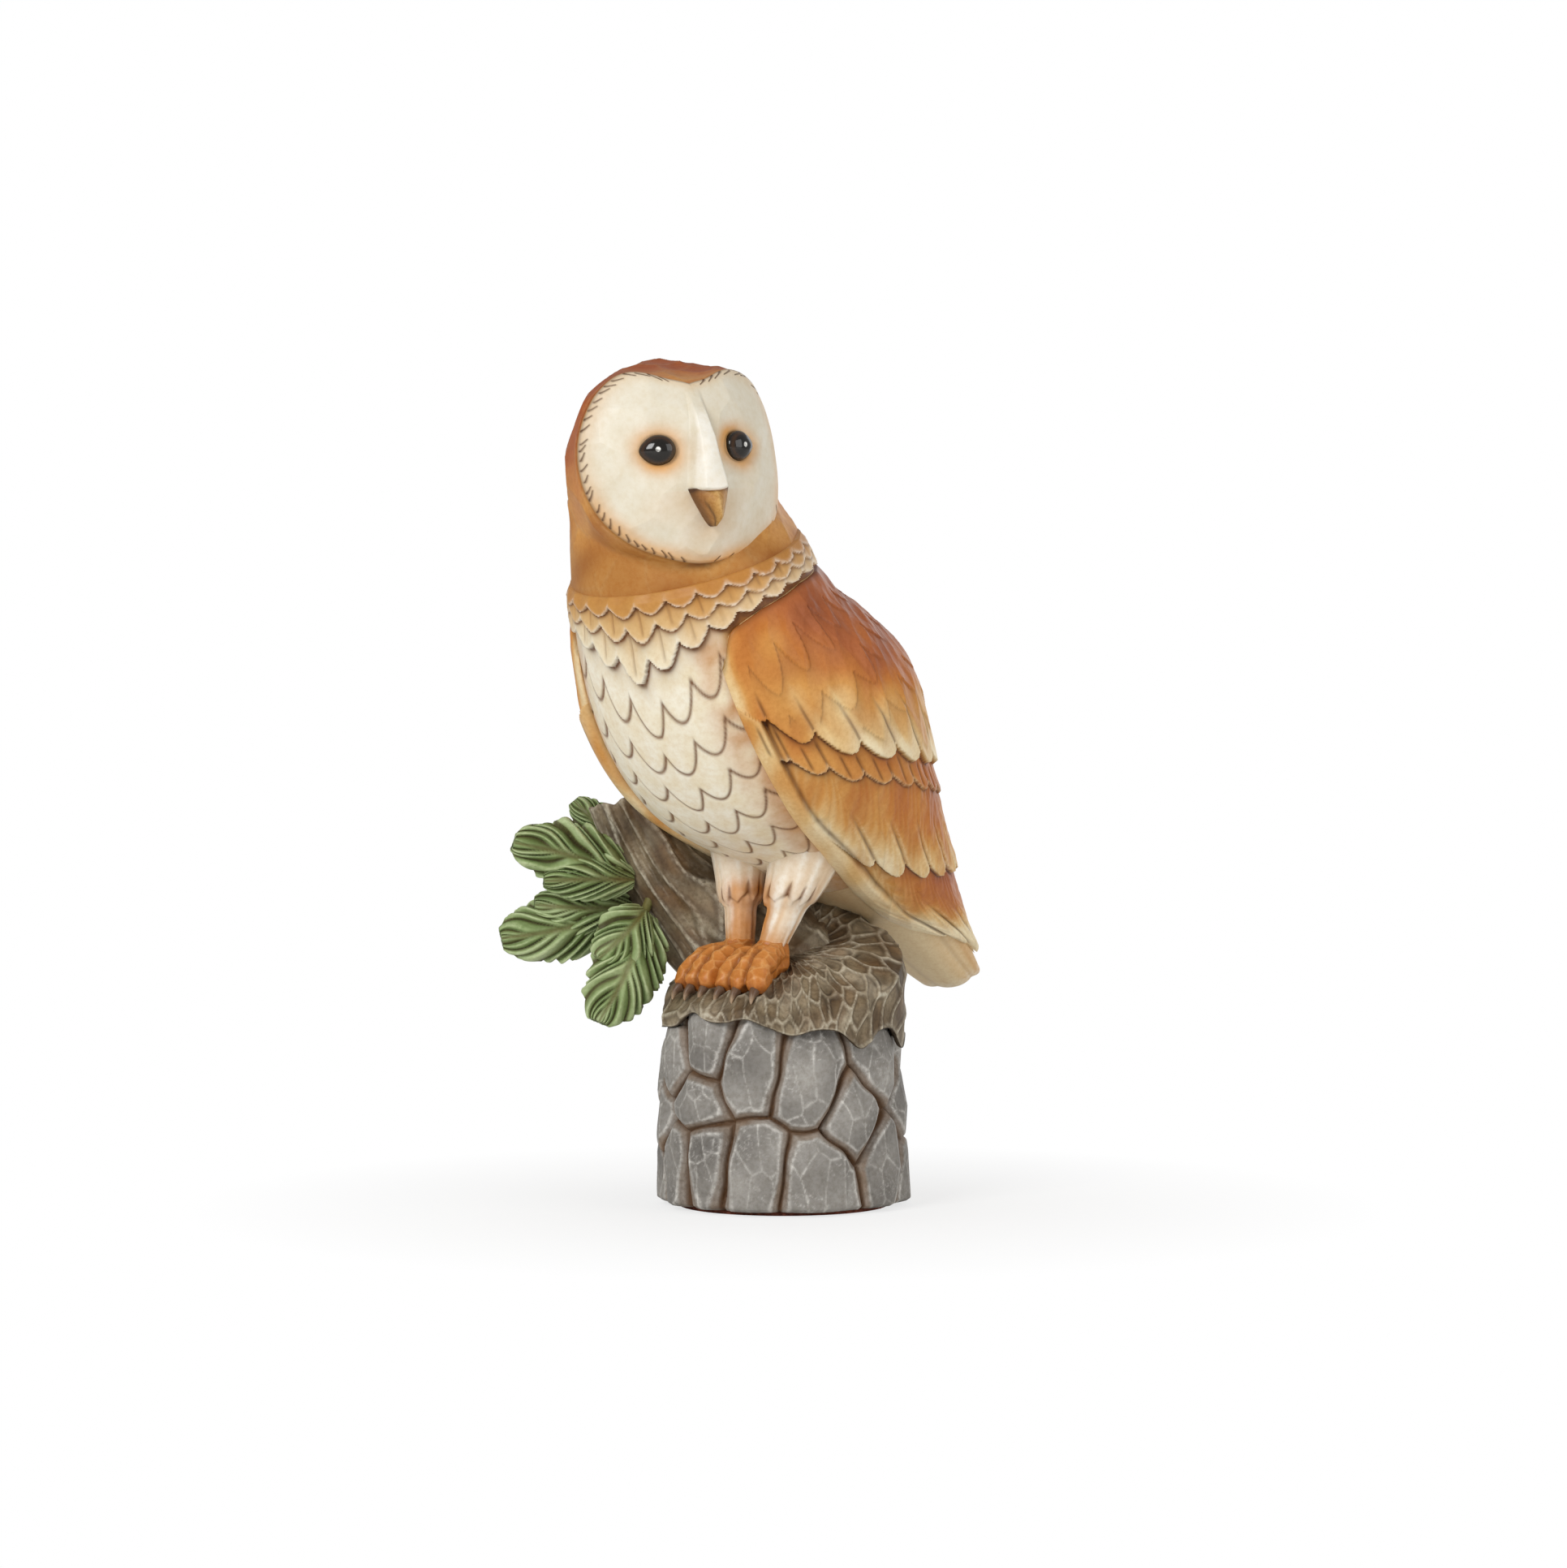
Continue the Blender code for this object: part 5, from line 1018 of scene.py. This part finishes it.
def buildFace():
    # polar grid from the middle to the heart outline over the front, round the rim and back over a
    # parallel face; slanted ticks are cut in along the rim
    s = face
    a = circle(s["cols"])
    rho = np.concatenate([column(0.01, 0.87, s["innerRows"]), column(0.876, 1.0, s["rows"] - s["innerRows"])])
    x, z = onDisc(rho, a)
    dice = np.random.default_rng(91)
    ticks = np.zeros(x.shape)
    for start, stop, step in ((-168, -16, 5.4), (12, 62, 6.5), (118, 176, 9.0)):  # degrees from the top
        for d in np.arange(start, stop, step):
            c = np.radians(d + dice.uniform(-1.5, 1.5))
            r0, r1 = dice.uniform(0.985, 0.998), dice.uniform(0.947, 0.968)
            lean = np.radians(dice.uniform(3.0, 5.0)) * (-np.sign(d))
            p = np.array(onDisc(1.0, np.array(c))) * r0
            q = np.array(onDisc(1.0, np.array(c + lean))) * r1
            (px, pz), (qx, qz) = p, q - p
            w = clamp(((x - px) * qx + (z - pz) * qz) / ((q - p) @ (q - p)))
            d2 = np.hypot(x - px - w * qx, z - pz - w * qz)
            ticks = np.maximum(ticks, line(d2, (0.21 - 0.08 * w) * mm))
    cuts = scatter(90 * mm, 60 * mm, 8.5 * mm, 8.5 * mm, 92) - np.array((45 * mm, 30 * mm))
    near = nearestTwo(at(x, z), cuts)[0]
    calm = ease(0.99, 0.9, rho)
    depth = faceDepth(x, z) + 0.42 * mm * ((near / (5 * mm)) ** 2 - 0.3) * calm - s["tickCut"] * ticks
    depth = depth - 0.7 * mm * ease(0.965, 1.0, rho) ** 2
    front = at(x, -depth, z)
    wall = [discRing(shrink, a, back * mm)
            for shrink, back in ((1.004, 0.9), (1.0, 1.5), (0.985, 1.9), (0.6, 1.95), (0.02, 1.95))]
    grid = faceToWorld(np.concatenate([front, np.stack(wall)]))
    eyes = np.hypot((np.abs(x) - s["eyeX"]) / s["eyeW"], (z - s["eyeZ"]) / s["eyeH"])
    haze = mottle(front, 14 * mm, 93)
    border = ease(0.80, 1.0, rho) ** 1.6
    low = ease(0, -14 * mm, z)
    blush = 1.05 * line(np.maximum(eyes - 1.0, 0), 0.65) * (0.6 + 0.4 * haze)
    blush = blush + border * (0.34 + 0.45 * low) + 0.16 * haze * low
    beakSide = line(np.hypot(x, z - s["beakTop"] + 3 * mm), 6.5 * mm)
    blush = blush + 0.35 * beakSide * (z < s["beakTop"])
    wash = 0.95 * ticks + 0.5 * line(eyes - 1.0, 0.09) + 0.5 * ease(0.985, 1.0, rho)
    nose = noseShape(x, z)
    brush = 0.1 * ease(1.2 * mm, 2.8 * mm, nose)
    tone = 0.77 - 0.10 * border + 0.05 * wander(front, 9 * mm, 94) + 0.2 * ease(1.0 * mm, 2.6 * mm, nose)
    paint = dict(tone=tone, wash=wash, brush=brush, blush=blush)
    return [shell(grid, extend(paint, len(wall), tone=0.2, wash=0.5, blush=1.0))]


addPiece("face_disc", buildFace(), facePaint)

# Hood and neck: swept from the heart outline back to a round nape and grown together with a short
# leaning neck
hood = dict(rows=110, cols=240, back=np.array((15.9, 35.1, -4.0)) * mm, radius=23.8 * mm, swell=0.17,
            crown=0.075, jowl=0.08, scoop=0.5 * mm, flats=130, neckLean=np.radians(20.0), rise=20.0 * mm,
            core=np.array((4.5, 12.0, -6.0)) * mm, girth=np.array((22.4, 23.0)) * mm, neckRows=50,
            neckCols=200, seam=0.1505, paintFrom=0.150, paintRun=52 * mm, voxel=0.5 * mm, rounds=30)
hoodPaint = paintedResin("painted cast resin, ochre hood", dict(
    run=((0.0, "#b97a38"), (0.3, "#d29852"), (0.6, "#c8864a"), (0.8, "#b46a38"), (1.0, "#a5582e")),
    wash="#5a331b", brush="#dcae6e", blush="#8a4522", sheen=0.15, shade="#efe1cf", cloud=10 * mm,
    fine=1.2 * mm, drift=0.26, rough=(0.38, 0.5), grain=0.14))


def buildHood():
    # quarter turns from the rim of the disc to the nape: the outline eases into a circle, swells behind
    # the disc and shrinks to the nape; the neck runs straight from the collar seam to a ring inside it.
    # Both are grown into one skin, which is then knife-cut into flats round seeds spread evenly over a
    # ball
    s = hood
    t = column(0.0, 0.995, s["rows"]) * np.pi / 2
    a = circle(s["cols"])
    e = ease(0, 1, t / 0.5)
    edge = faceOutline(a)
    rim = faceDome(*onDisc(1.0, a))
    radius = edge * (1 - e) + s["radius"] * e
    depth = (-rim + face["rim"] + 0.3 * mm) * (1 - e)
    swell = s["swell"] + s["crown"] * clamp(np.cos(a)) ** 2 + s["jowl"] * clamp(np.cos(a + 2.1)) ** 2
    spread = np.cos(t) + swell * np.sin(2 * t)
    raw = at(radius * np.sin(a) * spread, depth * np.cos(t), radius * np.cos(a) * spread)
    raw = raw + s["back"] * np.sin(t)[..., None]
    plug = [discRing(shrink, a, face["rim"], 0.3 * mm) for shrink in (0.03, 0.5, 0.97)]
    skull = faceToWorld(np.concatenate([np.stack(plug), raw]))
    w = column(-0.12, 1, s["neckRows"])[..., None]
    b = circle(s["neckCols"])[0]
    ring = bodyPoint(np.zeros(len(b)), b, 0.0)
    up = spin(np.array((0, -np.sin(s["neckLean"]), np.cos(s["neckLean"]))), owl["yaw"])
    b = b + owl["yaw"] - face["yaw"]
    (x0, y0, z0), (wide, deep) = s["core"], s["girth"]
    upper = faceToWorld(at(x0 + wide * np.sin(b), y0 - deep * np.cos(b), z0))
    neck = ring * (1 - clamp(w)) + upper * clamp(w) + up * s["rise"] * np.minimum(w, 0)
    points, quads, normals = melt([shell(skull, {}), shell(neck, {})], s["voxel"], s["rounds"])
    middle = faceToWorld(s["back"] * 0.45)
    k = np.arange(s["flats"]) + 0.5
    tilt, round2 = np.arccos(1 - 2 * k / s["flats"]), np.pi * (1 + 5 ** 0.5) * k
    ball = at(np.sin(tilt) * np.cos(round2), np.sin(tilt) * np.sin(round2), np.cos(tilt))
    dice = np.random.default_rng(104)
    ball = unit(ball + dice.uniform(-0.09, 0.09, ball.shape))
    way = unit((points - middle) * np.array((1, 1, 0.8))) + 0.03 * wander(points, 18 * mm, 102)[:, None]
    near, second, which = nearestTwo(way, ball)
    local = worldToFace(points)
    rimRun = np.hypot(local[:, 0], local[:, 2]) - faceOutline(np.arctan2(local[:, 0], local[:, 2]))
    behind = local[:, 1] + faceDome(local[:, 0], local[:, 2]) - face["rim"]
    outside = np.maximum(np.abs(rimRun), np.abs(behind))
    free = ease(0.6 * mm, 4 * mm, outside) * ease(0.0, 6 * mm, points[:, 2] - s["seam"])
    points = points + normals * (s["scoop"] * ((near / 0.17) ** 2 - 0.75) * free)[:, None]
    high = (points[:, 2] - s["paintFrom"]) / s["paintRun"]
    soft = wander(points, 15 * mm, 105)
    seam = line(second - near, 0.02)
    tone = 0.12 + 0.16 * ease(0.0, 0.3, high) + 0.72 * ease(0.06, 0.66, high)
    tone = tone + 0.08 * dice.uniform(-1, 1, len(ball))[which] + 0.1 * soft
    notch = np.linalg.norm(local - np.array((2.0, -9.0, 20.0)) * mm, axis=-1)
    tone = tone - 0.6 * line(notch, 8.5 * mm)  # rubbed with gold where the heart dips
    low = ease(0.14, -0.02, high)
    paint = dict(tone=tone, wash=0.55 * line(outside, 0.9 * mm) + 0.1 * seam * (soft > 0) + 0.25 * low,
                 brush=0.22 * seam * ease(-0.5, 0.5, soft) + 0.2 * line(outside - 1.6 * mm, 0.7 * mm),
                 blush=0.22 * ease(0.6, 1.0, high) + 0.25 * clamp(-soft))
    return [(points, quads, np.zeros((0, 3), int), paint)]


addPiece("head", buildHood(), hoodPaint)

# Beak: hooked wedge under the nose
hornPaint = paintedResin("painted cast resin, horn beak", dict(
    run=((0.0, "#7d5228"), (0.4, "#a8753f"), (0.75, "#be8f4c"), (1.0, "#d0a663")), wash="#3d2413",
    brush="#dcbb80", blush="#8a5a2c", shade="#dccab0", cloud=4 * mm, fine=0.8 * mm, drift=0.35,
    rough=(0.34, 0.46), grain=0.3))
beak = dict(rows=60, cols=64, step=0.4 * mm, tip=0.35 * mm, curl=0.9 * mm, behind=1.8 * mm)


def buildBeak():
    # rows from top to tip: width falls off as (1 - t) to the power 0.72, a crest runs down the middle and
    # sinks back at the tip; the back of each row lies inside the face
    s = face
    t = column(0, 1, beak["rows"])
    b = np.linspace(0, turn, beak["cols"], endpoint=False)[None]
    z = s["beakTop"] + beak["step"] + (s["beakTip"] - s["beakTop"] - beak["step"]) * t
    half = s["beakHalf"] * (1 - t) ** 0.72 + beak["tip"]
    crest = s["reach"] * (0.42 + 0.58 * np.sin(np.pi * (0.12 + 0.62 * t))) * ease(1.25, 0.72, t)
    crest = crest + beak["step"]
    x = half * np.sin(b) + beak["curl"] * t ** 1.5
    out = np.cos(b)
    front = crest * clamp(out) ** 0.85 * (1 - 0.25 * np.abs(np.sin(b)))
    rise = np.where(out > 0, front, beak["behind"] * out)
    grid = faceToWorld(at(x, -faceDome(x, z) - rise, z + 0 * b))
    round2 = np.where(b > np.pi, b - turn, b)
    ridge = line(round2, 0.16)
    sideShade = ease(-0.2, -0.95, np.sin(b))
    gape = line(np.abs(round2) - 0.95 + 0.5 * t, 0.09) * ease(0.2, 0.5, t)  # line of the mouth
    wash = 0.75 * line(t - 0.02, 0.08) + 0.6 * line(np.abs(np.sin(b)) - 1, 0.16)
    wash = wash + 0.35 * ease(0.85, 1.0, t) + 0.8 * gape
    return [shell(grid, dict(tone=0.62 + 0.25 * t - 0.34 * sideShade, wash=wash,
                             brush=0.45 * ridge * ease(1, 0.6, t), blush=0.5 * sideShade))]


addPiece("beak", buildBeak(), hornPaint)

# Eyes: gloss beads with a painted white glint dot, a painted highlight
beadPaint = paintedResin("gloss black glass bead", dict(
    run=((0.0, "#17130f"), (0.5, "#2a1d13"), (0.9, "#3b2614"), (1.0, "#3b2614")), wash="#080605",
    brush="#f7f5ef", blush="#0c0a08", shade="#e8e2da", cloud=3 * mm, fine=0.8 * mm, drift=0.2,
    rough=(0.08, 0.13), grain=0.02, sheen=0.5))
bead = dict(rows=34, cols=72, corner=0.16, back=1.6 * mm)


def buildEye(side):
    # polar cap: an oval with a pointed outer corner, raised as the root of 1 - rho squared, on a flat back
    s = face
    a = circle(bead["cols"])
    rho = column(0.02, 1.0, bead["rows"])
    corner = 1 + bead["corner"] * clamp(np.cos(a)) ** 6
    p, q = rho * s["eyeW"] * np.cos(a) * corner, rho * s["eyeH"] * np.sin(a)
    front = at(p, -(s["bulge"] * np.sqrt(clamp(1 - rho ** 2)) + 0.25 * mm), q)
    behind = [at(k * s["eyeW"] * np.cos(a) * corner, bead["back"], k * s["eyeH"] * np.sin(a))
              for k in (0.97, 0.5, 0.03)]
    local = spin(np.concatenate([front] + behind) * np.array((side, 1, 1)), side * s["eyeTurn"])
    x, z = np.array(side * s["eyeX"]), np.array(s["eyeZ"])
    grid = faceToWorld(local + np.array((x, -faceDepth(x, z), z)))
    # painted highlight: a small white glint dot near the middle of each bead
    glintDot = ease(0.62 * mm, 0.42 * mm, np.hypot(p - 0.1 * mm, q - 0.2 * mm))
    paint = dict(tone=0.9 * line(rho - 0.82, 0.12) + 0 * a, wash=ease(0.9, 1.0, rho) * (1 - glintDot),
                 brush=3 * glintDot)
    return [shell(grid, extend(paint, len(behind)))]


for hand, side in hands:
    addPiece(hand + "_eye", buildEye(side), beadPaint)

# Legs: feathered trousers that flow out of the belly, ticked at the hem, over a tapering shank
leg = dict(rows=150, cols=130, points=11, hem=0.63, jag=0.085, ankle=(5.2, -2.5, 4.5),
           left=dict(hip=(10.2, 6.5, 29.0), sizes=(6.0, 9.4, 8.6, 7.0, 5.5, 4.7, 4.1, 3.5, 3.2)),
           right=dict(hip=(-8.6, 1.5, 29.0), sizes=(5.0, 7.4, 6.6, 5.4, 4.5, 3.9, 3.6, 3.3, 3.1)))
legPaint = paintedResin("painted cast resin, cream legs", dict(
    creamSet, run=((0.0, "#a56b35"), (0.35, "#cf9f69"), (0.7, "#e6d0b2"), (1.0, "#f3ebdc")), blush="#cb8638",
    drift=0.2))


def buildLeg(side):
    # tube from inside the belly to the ankle: its half width follows the knots down to the shank, with
    # a small step and points at the hem and thin strokes carved along it
    s = leg
    own = s["left"] if side > 0 else s["right"]
    hip, ankle = np.array(own["hip"]) * mm, np.array(s["ankle"]) * mm * (side, 1, 1)
    t = column(-0.4, 1.06, s["rows"])
    a = circle(s["cols"])
    f = (a / turn * s["points"] + 0.25 * np.sin(3 * a + side)) % 1.0
    hem = s["hem"] - s["jag"] * np.abs(2 * f - 1) ** 0.8 + 0.035 * np.sin(2 * a + side)
    past = (t - hem) * 25 * mm
    cover = ease(0.3 * mm, -0.3 * mm, past)
    tuft = np.minimum(f, 1 - f) * 2.6 * mm
    r = smoothThrough((-0.4, 0, 0.2, 0.42, 0.6, 0.66, 0.8, 0.95, 1.06), own["sizes"], t) * mm
    r = r + 0.6 * mm * cover * ease(0.2, 0.6, t)
    r = r - 0.25 * mm * line(tuft, 0.3 * mm) * ease(0.1, 0.5, t) * cover
    streak = wander(at(np.cos(a) * 6 * mm, np.sin(a) * 6 * mm, t * 3 * mm), 3 * mm, 111)
    r = r + 0.10 * mm * streak
    local = hip + (ankle - hip) * t[..., None] + at(r * np.cos(a), r * np.sin(a) * 1.05, 0 * r)
    # tan on each leg's inner side: partly the leg's own tan paint, partly painted shade between the legs
    inside = ease(0.0, 0.9, -np.cos(a - 0.35 * side) * side) * ease(0.3, 0.55, t)
    slim = (0.14 + 0.3 * ease(hem - 0.13, hem - 0.02, t)) * mm
    tick = line(tuft, slim) * ease(hem - 0.14, hem - 0.08, t) * ease(hem + 0.04, hem, t)
    tone = 0.82 + 0.12 * streak - 0.14 * ease(0.8, 1.0, t)
    # dark ticks painted at the hem, and a faint painted shade just below the hem step
    wash = 0.95 * tick + 0.12 * line(past - 0.3 * mm, 0.5 * mm) * ease(0.3, 0.9, np.abs(2 * f - 1))
    blush = inside + 0.55 * ease(0.78, 1.0, t) + (0.14 + 0.16 * clamp(-streak)) * ease(0.2, 0.6, t)
    brush = 0.35 * ease(0.3, 0.9, streak) * (1 - inside)
    return [shell(owlToWorld(local), dict(tone=tone, wash=wash, brush=brush, blush=blush))]


for hand, side in hands:
    addPiece(hand + "_leg", buildLeg(side), legPaint)

# Feet: three knuckled toes each, grown into one foot, with short dark claws
foot = dict(length=12.8 * mm, radius=2.75 * mm, fall=7.7 * mm, pitch=1.4 * mm, drop=2.6 * mm, heel=5.4 * mm,
            left=(-8.0, 6.0, 20.0), right=(-2.0, 10.0, 22.0), claw=3.4 * mm, voxel=0.3 * mm, rounds=4,
            flat=2.9 * mm, flatCut=0.42 * mm, grooveCut=0.4 * mm, toeRows=46, soleRows=20, clawRows=24,
            heelRows=40, heelCols=60, heelKnots=(3.3 * mm, 3.7 * mm, 4.1 * mm, 4.2 * mm, 3.2 * mm))
footPaint = paintedResin("painted cast resin, orange feet", dict(
    run=((0.0, "#3a261b"), (0.12, "#4f3626"), (0.3, "#9a551f"), (0.6, "#c47a36"), (0.85, "#d79652"),
         (1.0, "#e4b074")), wash="#6a3715", brush="#e9bd84", blush="#dcc0a0", shade="#efe0cd", cloud=5 * mm,
    fine=0.9 * mm, drift=0.10, rough=(0.3, 0.42), grain=0.16))


def buildFoot(side):
    # each toe is a tube that arches over its knuckles and drops to its end; toes and heel grow into one
    # skin, cut into small flats, with the wash in the grooves between toes, painted light on the upper faces
    # and painted shade on the undersides. A claw carries on from the end of each toe
    s = foot
    ankle = np.array(leg["ankle"]) * mm * (side, 1, 1)
    lumps, claws, paths = [], [], []
    w = np.linspace(0, 1, s["toeRows"])
    c = np.linspace(0, 1, s["clawRows"])
    down = c[:, None]
    heel = ankle - upright * s["heel"]
    thick = np.linspace(2.9, 1.9, s["soleRows"]) * mm
    for i, d in enumerate(s["left"] if side > 0 else s["right"]):
        way = np.radians(d) * side
        ahead = np.array((np.sin(way), -np.cos(way), 0))
        root = ankle + np.array((side * (i - 1) * s["pitch"], 0, -s["drop"]))
        run = smoothThrough((0, 0.25, 0.5, 0.75, 1), (-0.05, 0.36, 0.72, 0.95, 1.0), w)
        fall = smoothThrough((0, 0.25, 0.5, 0.75, 1), (-0.05, 0.02, 0.26, 0.66, 1.04), w)
        size = smoothThrough((0, 0.25, 0.5, 0.75, 0.93, 1), (0.95, 0.98, 1.04, 1.0, 0.8, 0.45), w)
        size = size * (1 + 0.07 * np.cos(w * turn * 2.5))
        path = root + ahead * (s["length"] * run)[:, None] - upright * (s["fall"] * fall)[:, None]
        along = unit(np.gradient(path, axis=0))
        across = unit(np.cross(along, upright + 0.4 * ahead))
        up = np.cross(across, along)
        toe = tube(path, s["radius"] * size * 0.92, s["radius"] * size, across, up, 24)
        sole = heel + (path[-7] - heel) * column(0, 1, s["soleRows"])  # fills the arch down to the bark
        lift, aside = (np.broadcast_to(v, sole.shape) for v in (upright, np.cross(ahead, upright)))
        sole = tube(sole, thick * 0.8, thick, aside, lift, 20)
        lumps += [shell(owlToWorld(lump), {}) for lump in (toe, sole)]
        paths.append(owlToWorld(path))
        tipPath = path[-5] + ahead * (s["radius"] * 0.55 + s["claw"] * 0.6 * np.sin(c * 1.5))[:, None]
        tipPath = tipPath - upright * (s["claw"] * (0.15 + 0.85 * c ** 1.4))[:, None]
        forward = unit(np.gradient(tipPath, axis=0))
        across = unit(np.cross(forward, upright + ahead * 0.3))
        slim = s["radius"] * (0.40 * (1 - c) ** 0.8 + 0.04)
        claw = owlToWorld(tube(tipPath, slim, slim * 1.15, across, np.cross(across, forward), 16))
        horn = dict(tone=0.10, wash=0.2 * (1 - down), blush=0.15 + 0.7 * ease(0.4, 0.95, down))
        claws.append(shell(claw, horn))
    h = column(0, 1, s["heelRows"])
    a = circle(s["heelCols"])
    r = smoothThrough((0, 0.2, 0.5, 0.8, 1), s["heelKnots"], h)
    x, y = r * np.cos(a) * 0.95, r * np.sin(a) - 1.2 * mm * h
    z = ankle[2] + 0.8 * mm - 8.0 * mm * h
    lumps.append(shell(owlToWorld(at(ankle[0] + x, ankle[1] + y, z)), {}))
    points, quads, normals = melt(lumps, s["voxel"], s["rounds"])
    apart = np.sort([np.linalg.norm(points[:, None] - path[None, ::3], axis=-1).min(1)
                     for path in paths], 0)
    dice = np.random.default_rng(121)
    low = points.min(0)
    count = (np.ptp(points, axis=0) / s["flat"]).astype(int) + 1
    cells = np.stack(np.meshgrid(*[np.arange(n) for n in count], indexing="ij"), -1).reshape(-1, 3)
    cells = low + (cells + dice.uniform(0.15, 0.85, cells.shape)) * s["flat"]
    near, second, _ = nearestTwo(points, cells)
    fromAnkle = np.linalg.norm(points - owlToWorld(ankle), axis=-1)
    groove = line(apart[1] - apart[0], 0.7 * mm) * ease(4.5 * mm, 6.5 * mm, fromAnkle)
    flats = s["flatCut"] * np.clip((near / (1.6 * mm)) ** 2 - 0.6, -0.6, 0.6)
    points = points + normals * (flats - s["grooveCut"] * groove)[:, None]
    # how far each point faces up: this drives the painted light and painted shade below
    facing = normals[:, 2]
    seam = line(second - near, 0.22 * mm)
    ankleGap = points[:, 2] - (owlToWorld(ankle)[2] + 0.2 * mm)
    # wash in the grooves and at the ankle, plus painted shade on the faces that turn down
    wash = 0.62 * groove + 0.55 * clamp(-0.2 - facing) + 0.3 * line(ankleGap, 0.5 * mm)
    # tone lighter on the upper faces as painted light; painted highlights on the upper edges of the flats
    paint = dict(tone=0.56 + 0.16 * facing + 0.12 * seam, wash=wash,
                 brush=0.4 * seam * clamp(facing + 0.2) * (1 - groove))
    return [(points, quads, np.zeros((0, 3), int), paint)] + claws


for hand, side in hands:
    addPiece(hand + "_foot", buildFoot(side), footPaint)

# Carried-over CAD nodes: pad, dowels, pegs and pins
felt, tree, shader = newTree("pressed wool felt, rust")  # felt: no gloss, fibres that lie all ways
place = addNode(tree, "TexCoord").outputs["Object"]
fibre = addNode(tree, "TexNoise", {"Vector": place, "Scale": 1 / (0.9 * mm), "Detail": 5.0}).outputs[0]
colour = addNode(tree, "ValToRGB", {0: fibre}, ((0.3, "#5f2f22"), (0.7, "#8a4a36"))).outputs[0]
nap = addNode(tree, "Bump", {"Strength": 0.6, "Distance": 0.3 * mm, "Height": fibre}).outputs[0]
tree.links.new(colour, shader.inputs["Base Color"])
tree.links.new(nap, shader.inputs["Normal"])
shader.inputs["Roughness"].default_value = 0.95


def rodStock(name, s):
    # rod with its grain along it: noise drawn out along the rod picks the colour and how dull it is
    made, tree, shader = newTree(name)
    place = addNode(tree, "TexCoord").outputs["Object"]
    place = addNode(tree, "Mapping", {"Vector": place, "Scale": (1.0, 1.0, s["drawn"])}).outputs[0]
    grain = addNode(tree, "TexNoise", {"Vector": place, "Scale": 1 / s["size"],
                                       "Detail": s["detail"]}).outputs[0]
    colour = addNode(tree, "ValToRGB", {0: grain}, s["run"]).outputs[0]
    dull = addNode(tree, "MapRange", {0: grain, 3: s["rough"][0], 4: s["rough"][1]}).outputs[0]
    tree.links.new(colour, shader.inputs["Base Color"])
    tree.links.new(dull, shader.inputs["Roughness"])
    shader.inputs["Metallic"].default_value = s["metal"]
    return made


birch = rodStock("birch dowel", dict(  # birch: pale, with fine straight grain along the rod
    run=((0.3, "#b98f5c"), (0.7, "#dcbb88")), drawn=0.12, size=0.8 * mm, detail=4.0, rough=(0.5, 0.7),
    metal=0.0))
wire = rodStock("drawn steel wire", dict(  # drawn steel: bright, with faint draw lines along it
    run=((0.3, "#b9babc"), (0.7, "#d6d7d8")), drawn=0.08, size=0.5 * mm, detail=3.0, rough=(0.25, 0.42),
    metal=1.0))
for finish, names in ((felt, ("base_pad",)), (wire, ("left_leg_pin", "right_leg_pin")),
                      (birch, ("left_base_dowel", "right_base_dowel", "limb_dowel", "tail_peg",
                               "left_wing_peg", "right_wing_peg", "neck_dowel"))):
    for name in names:
        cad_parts[name].data.materials.clear()
        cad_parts[name].data.materials.append(finish)
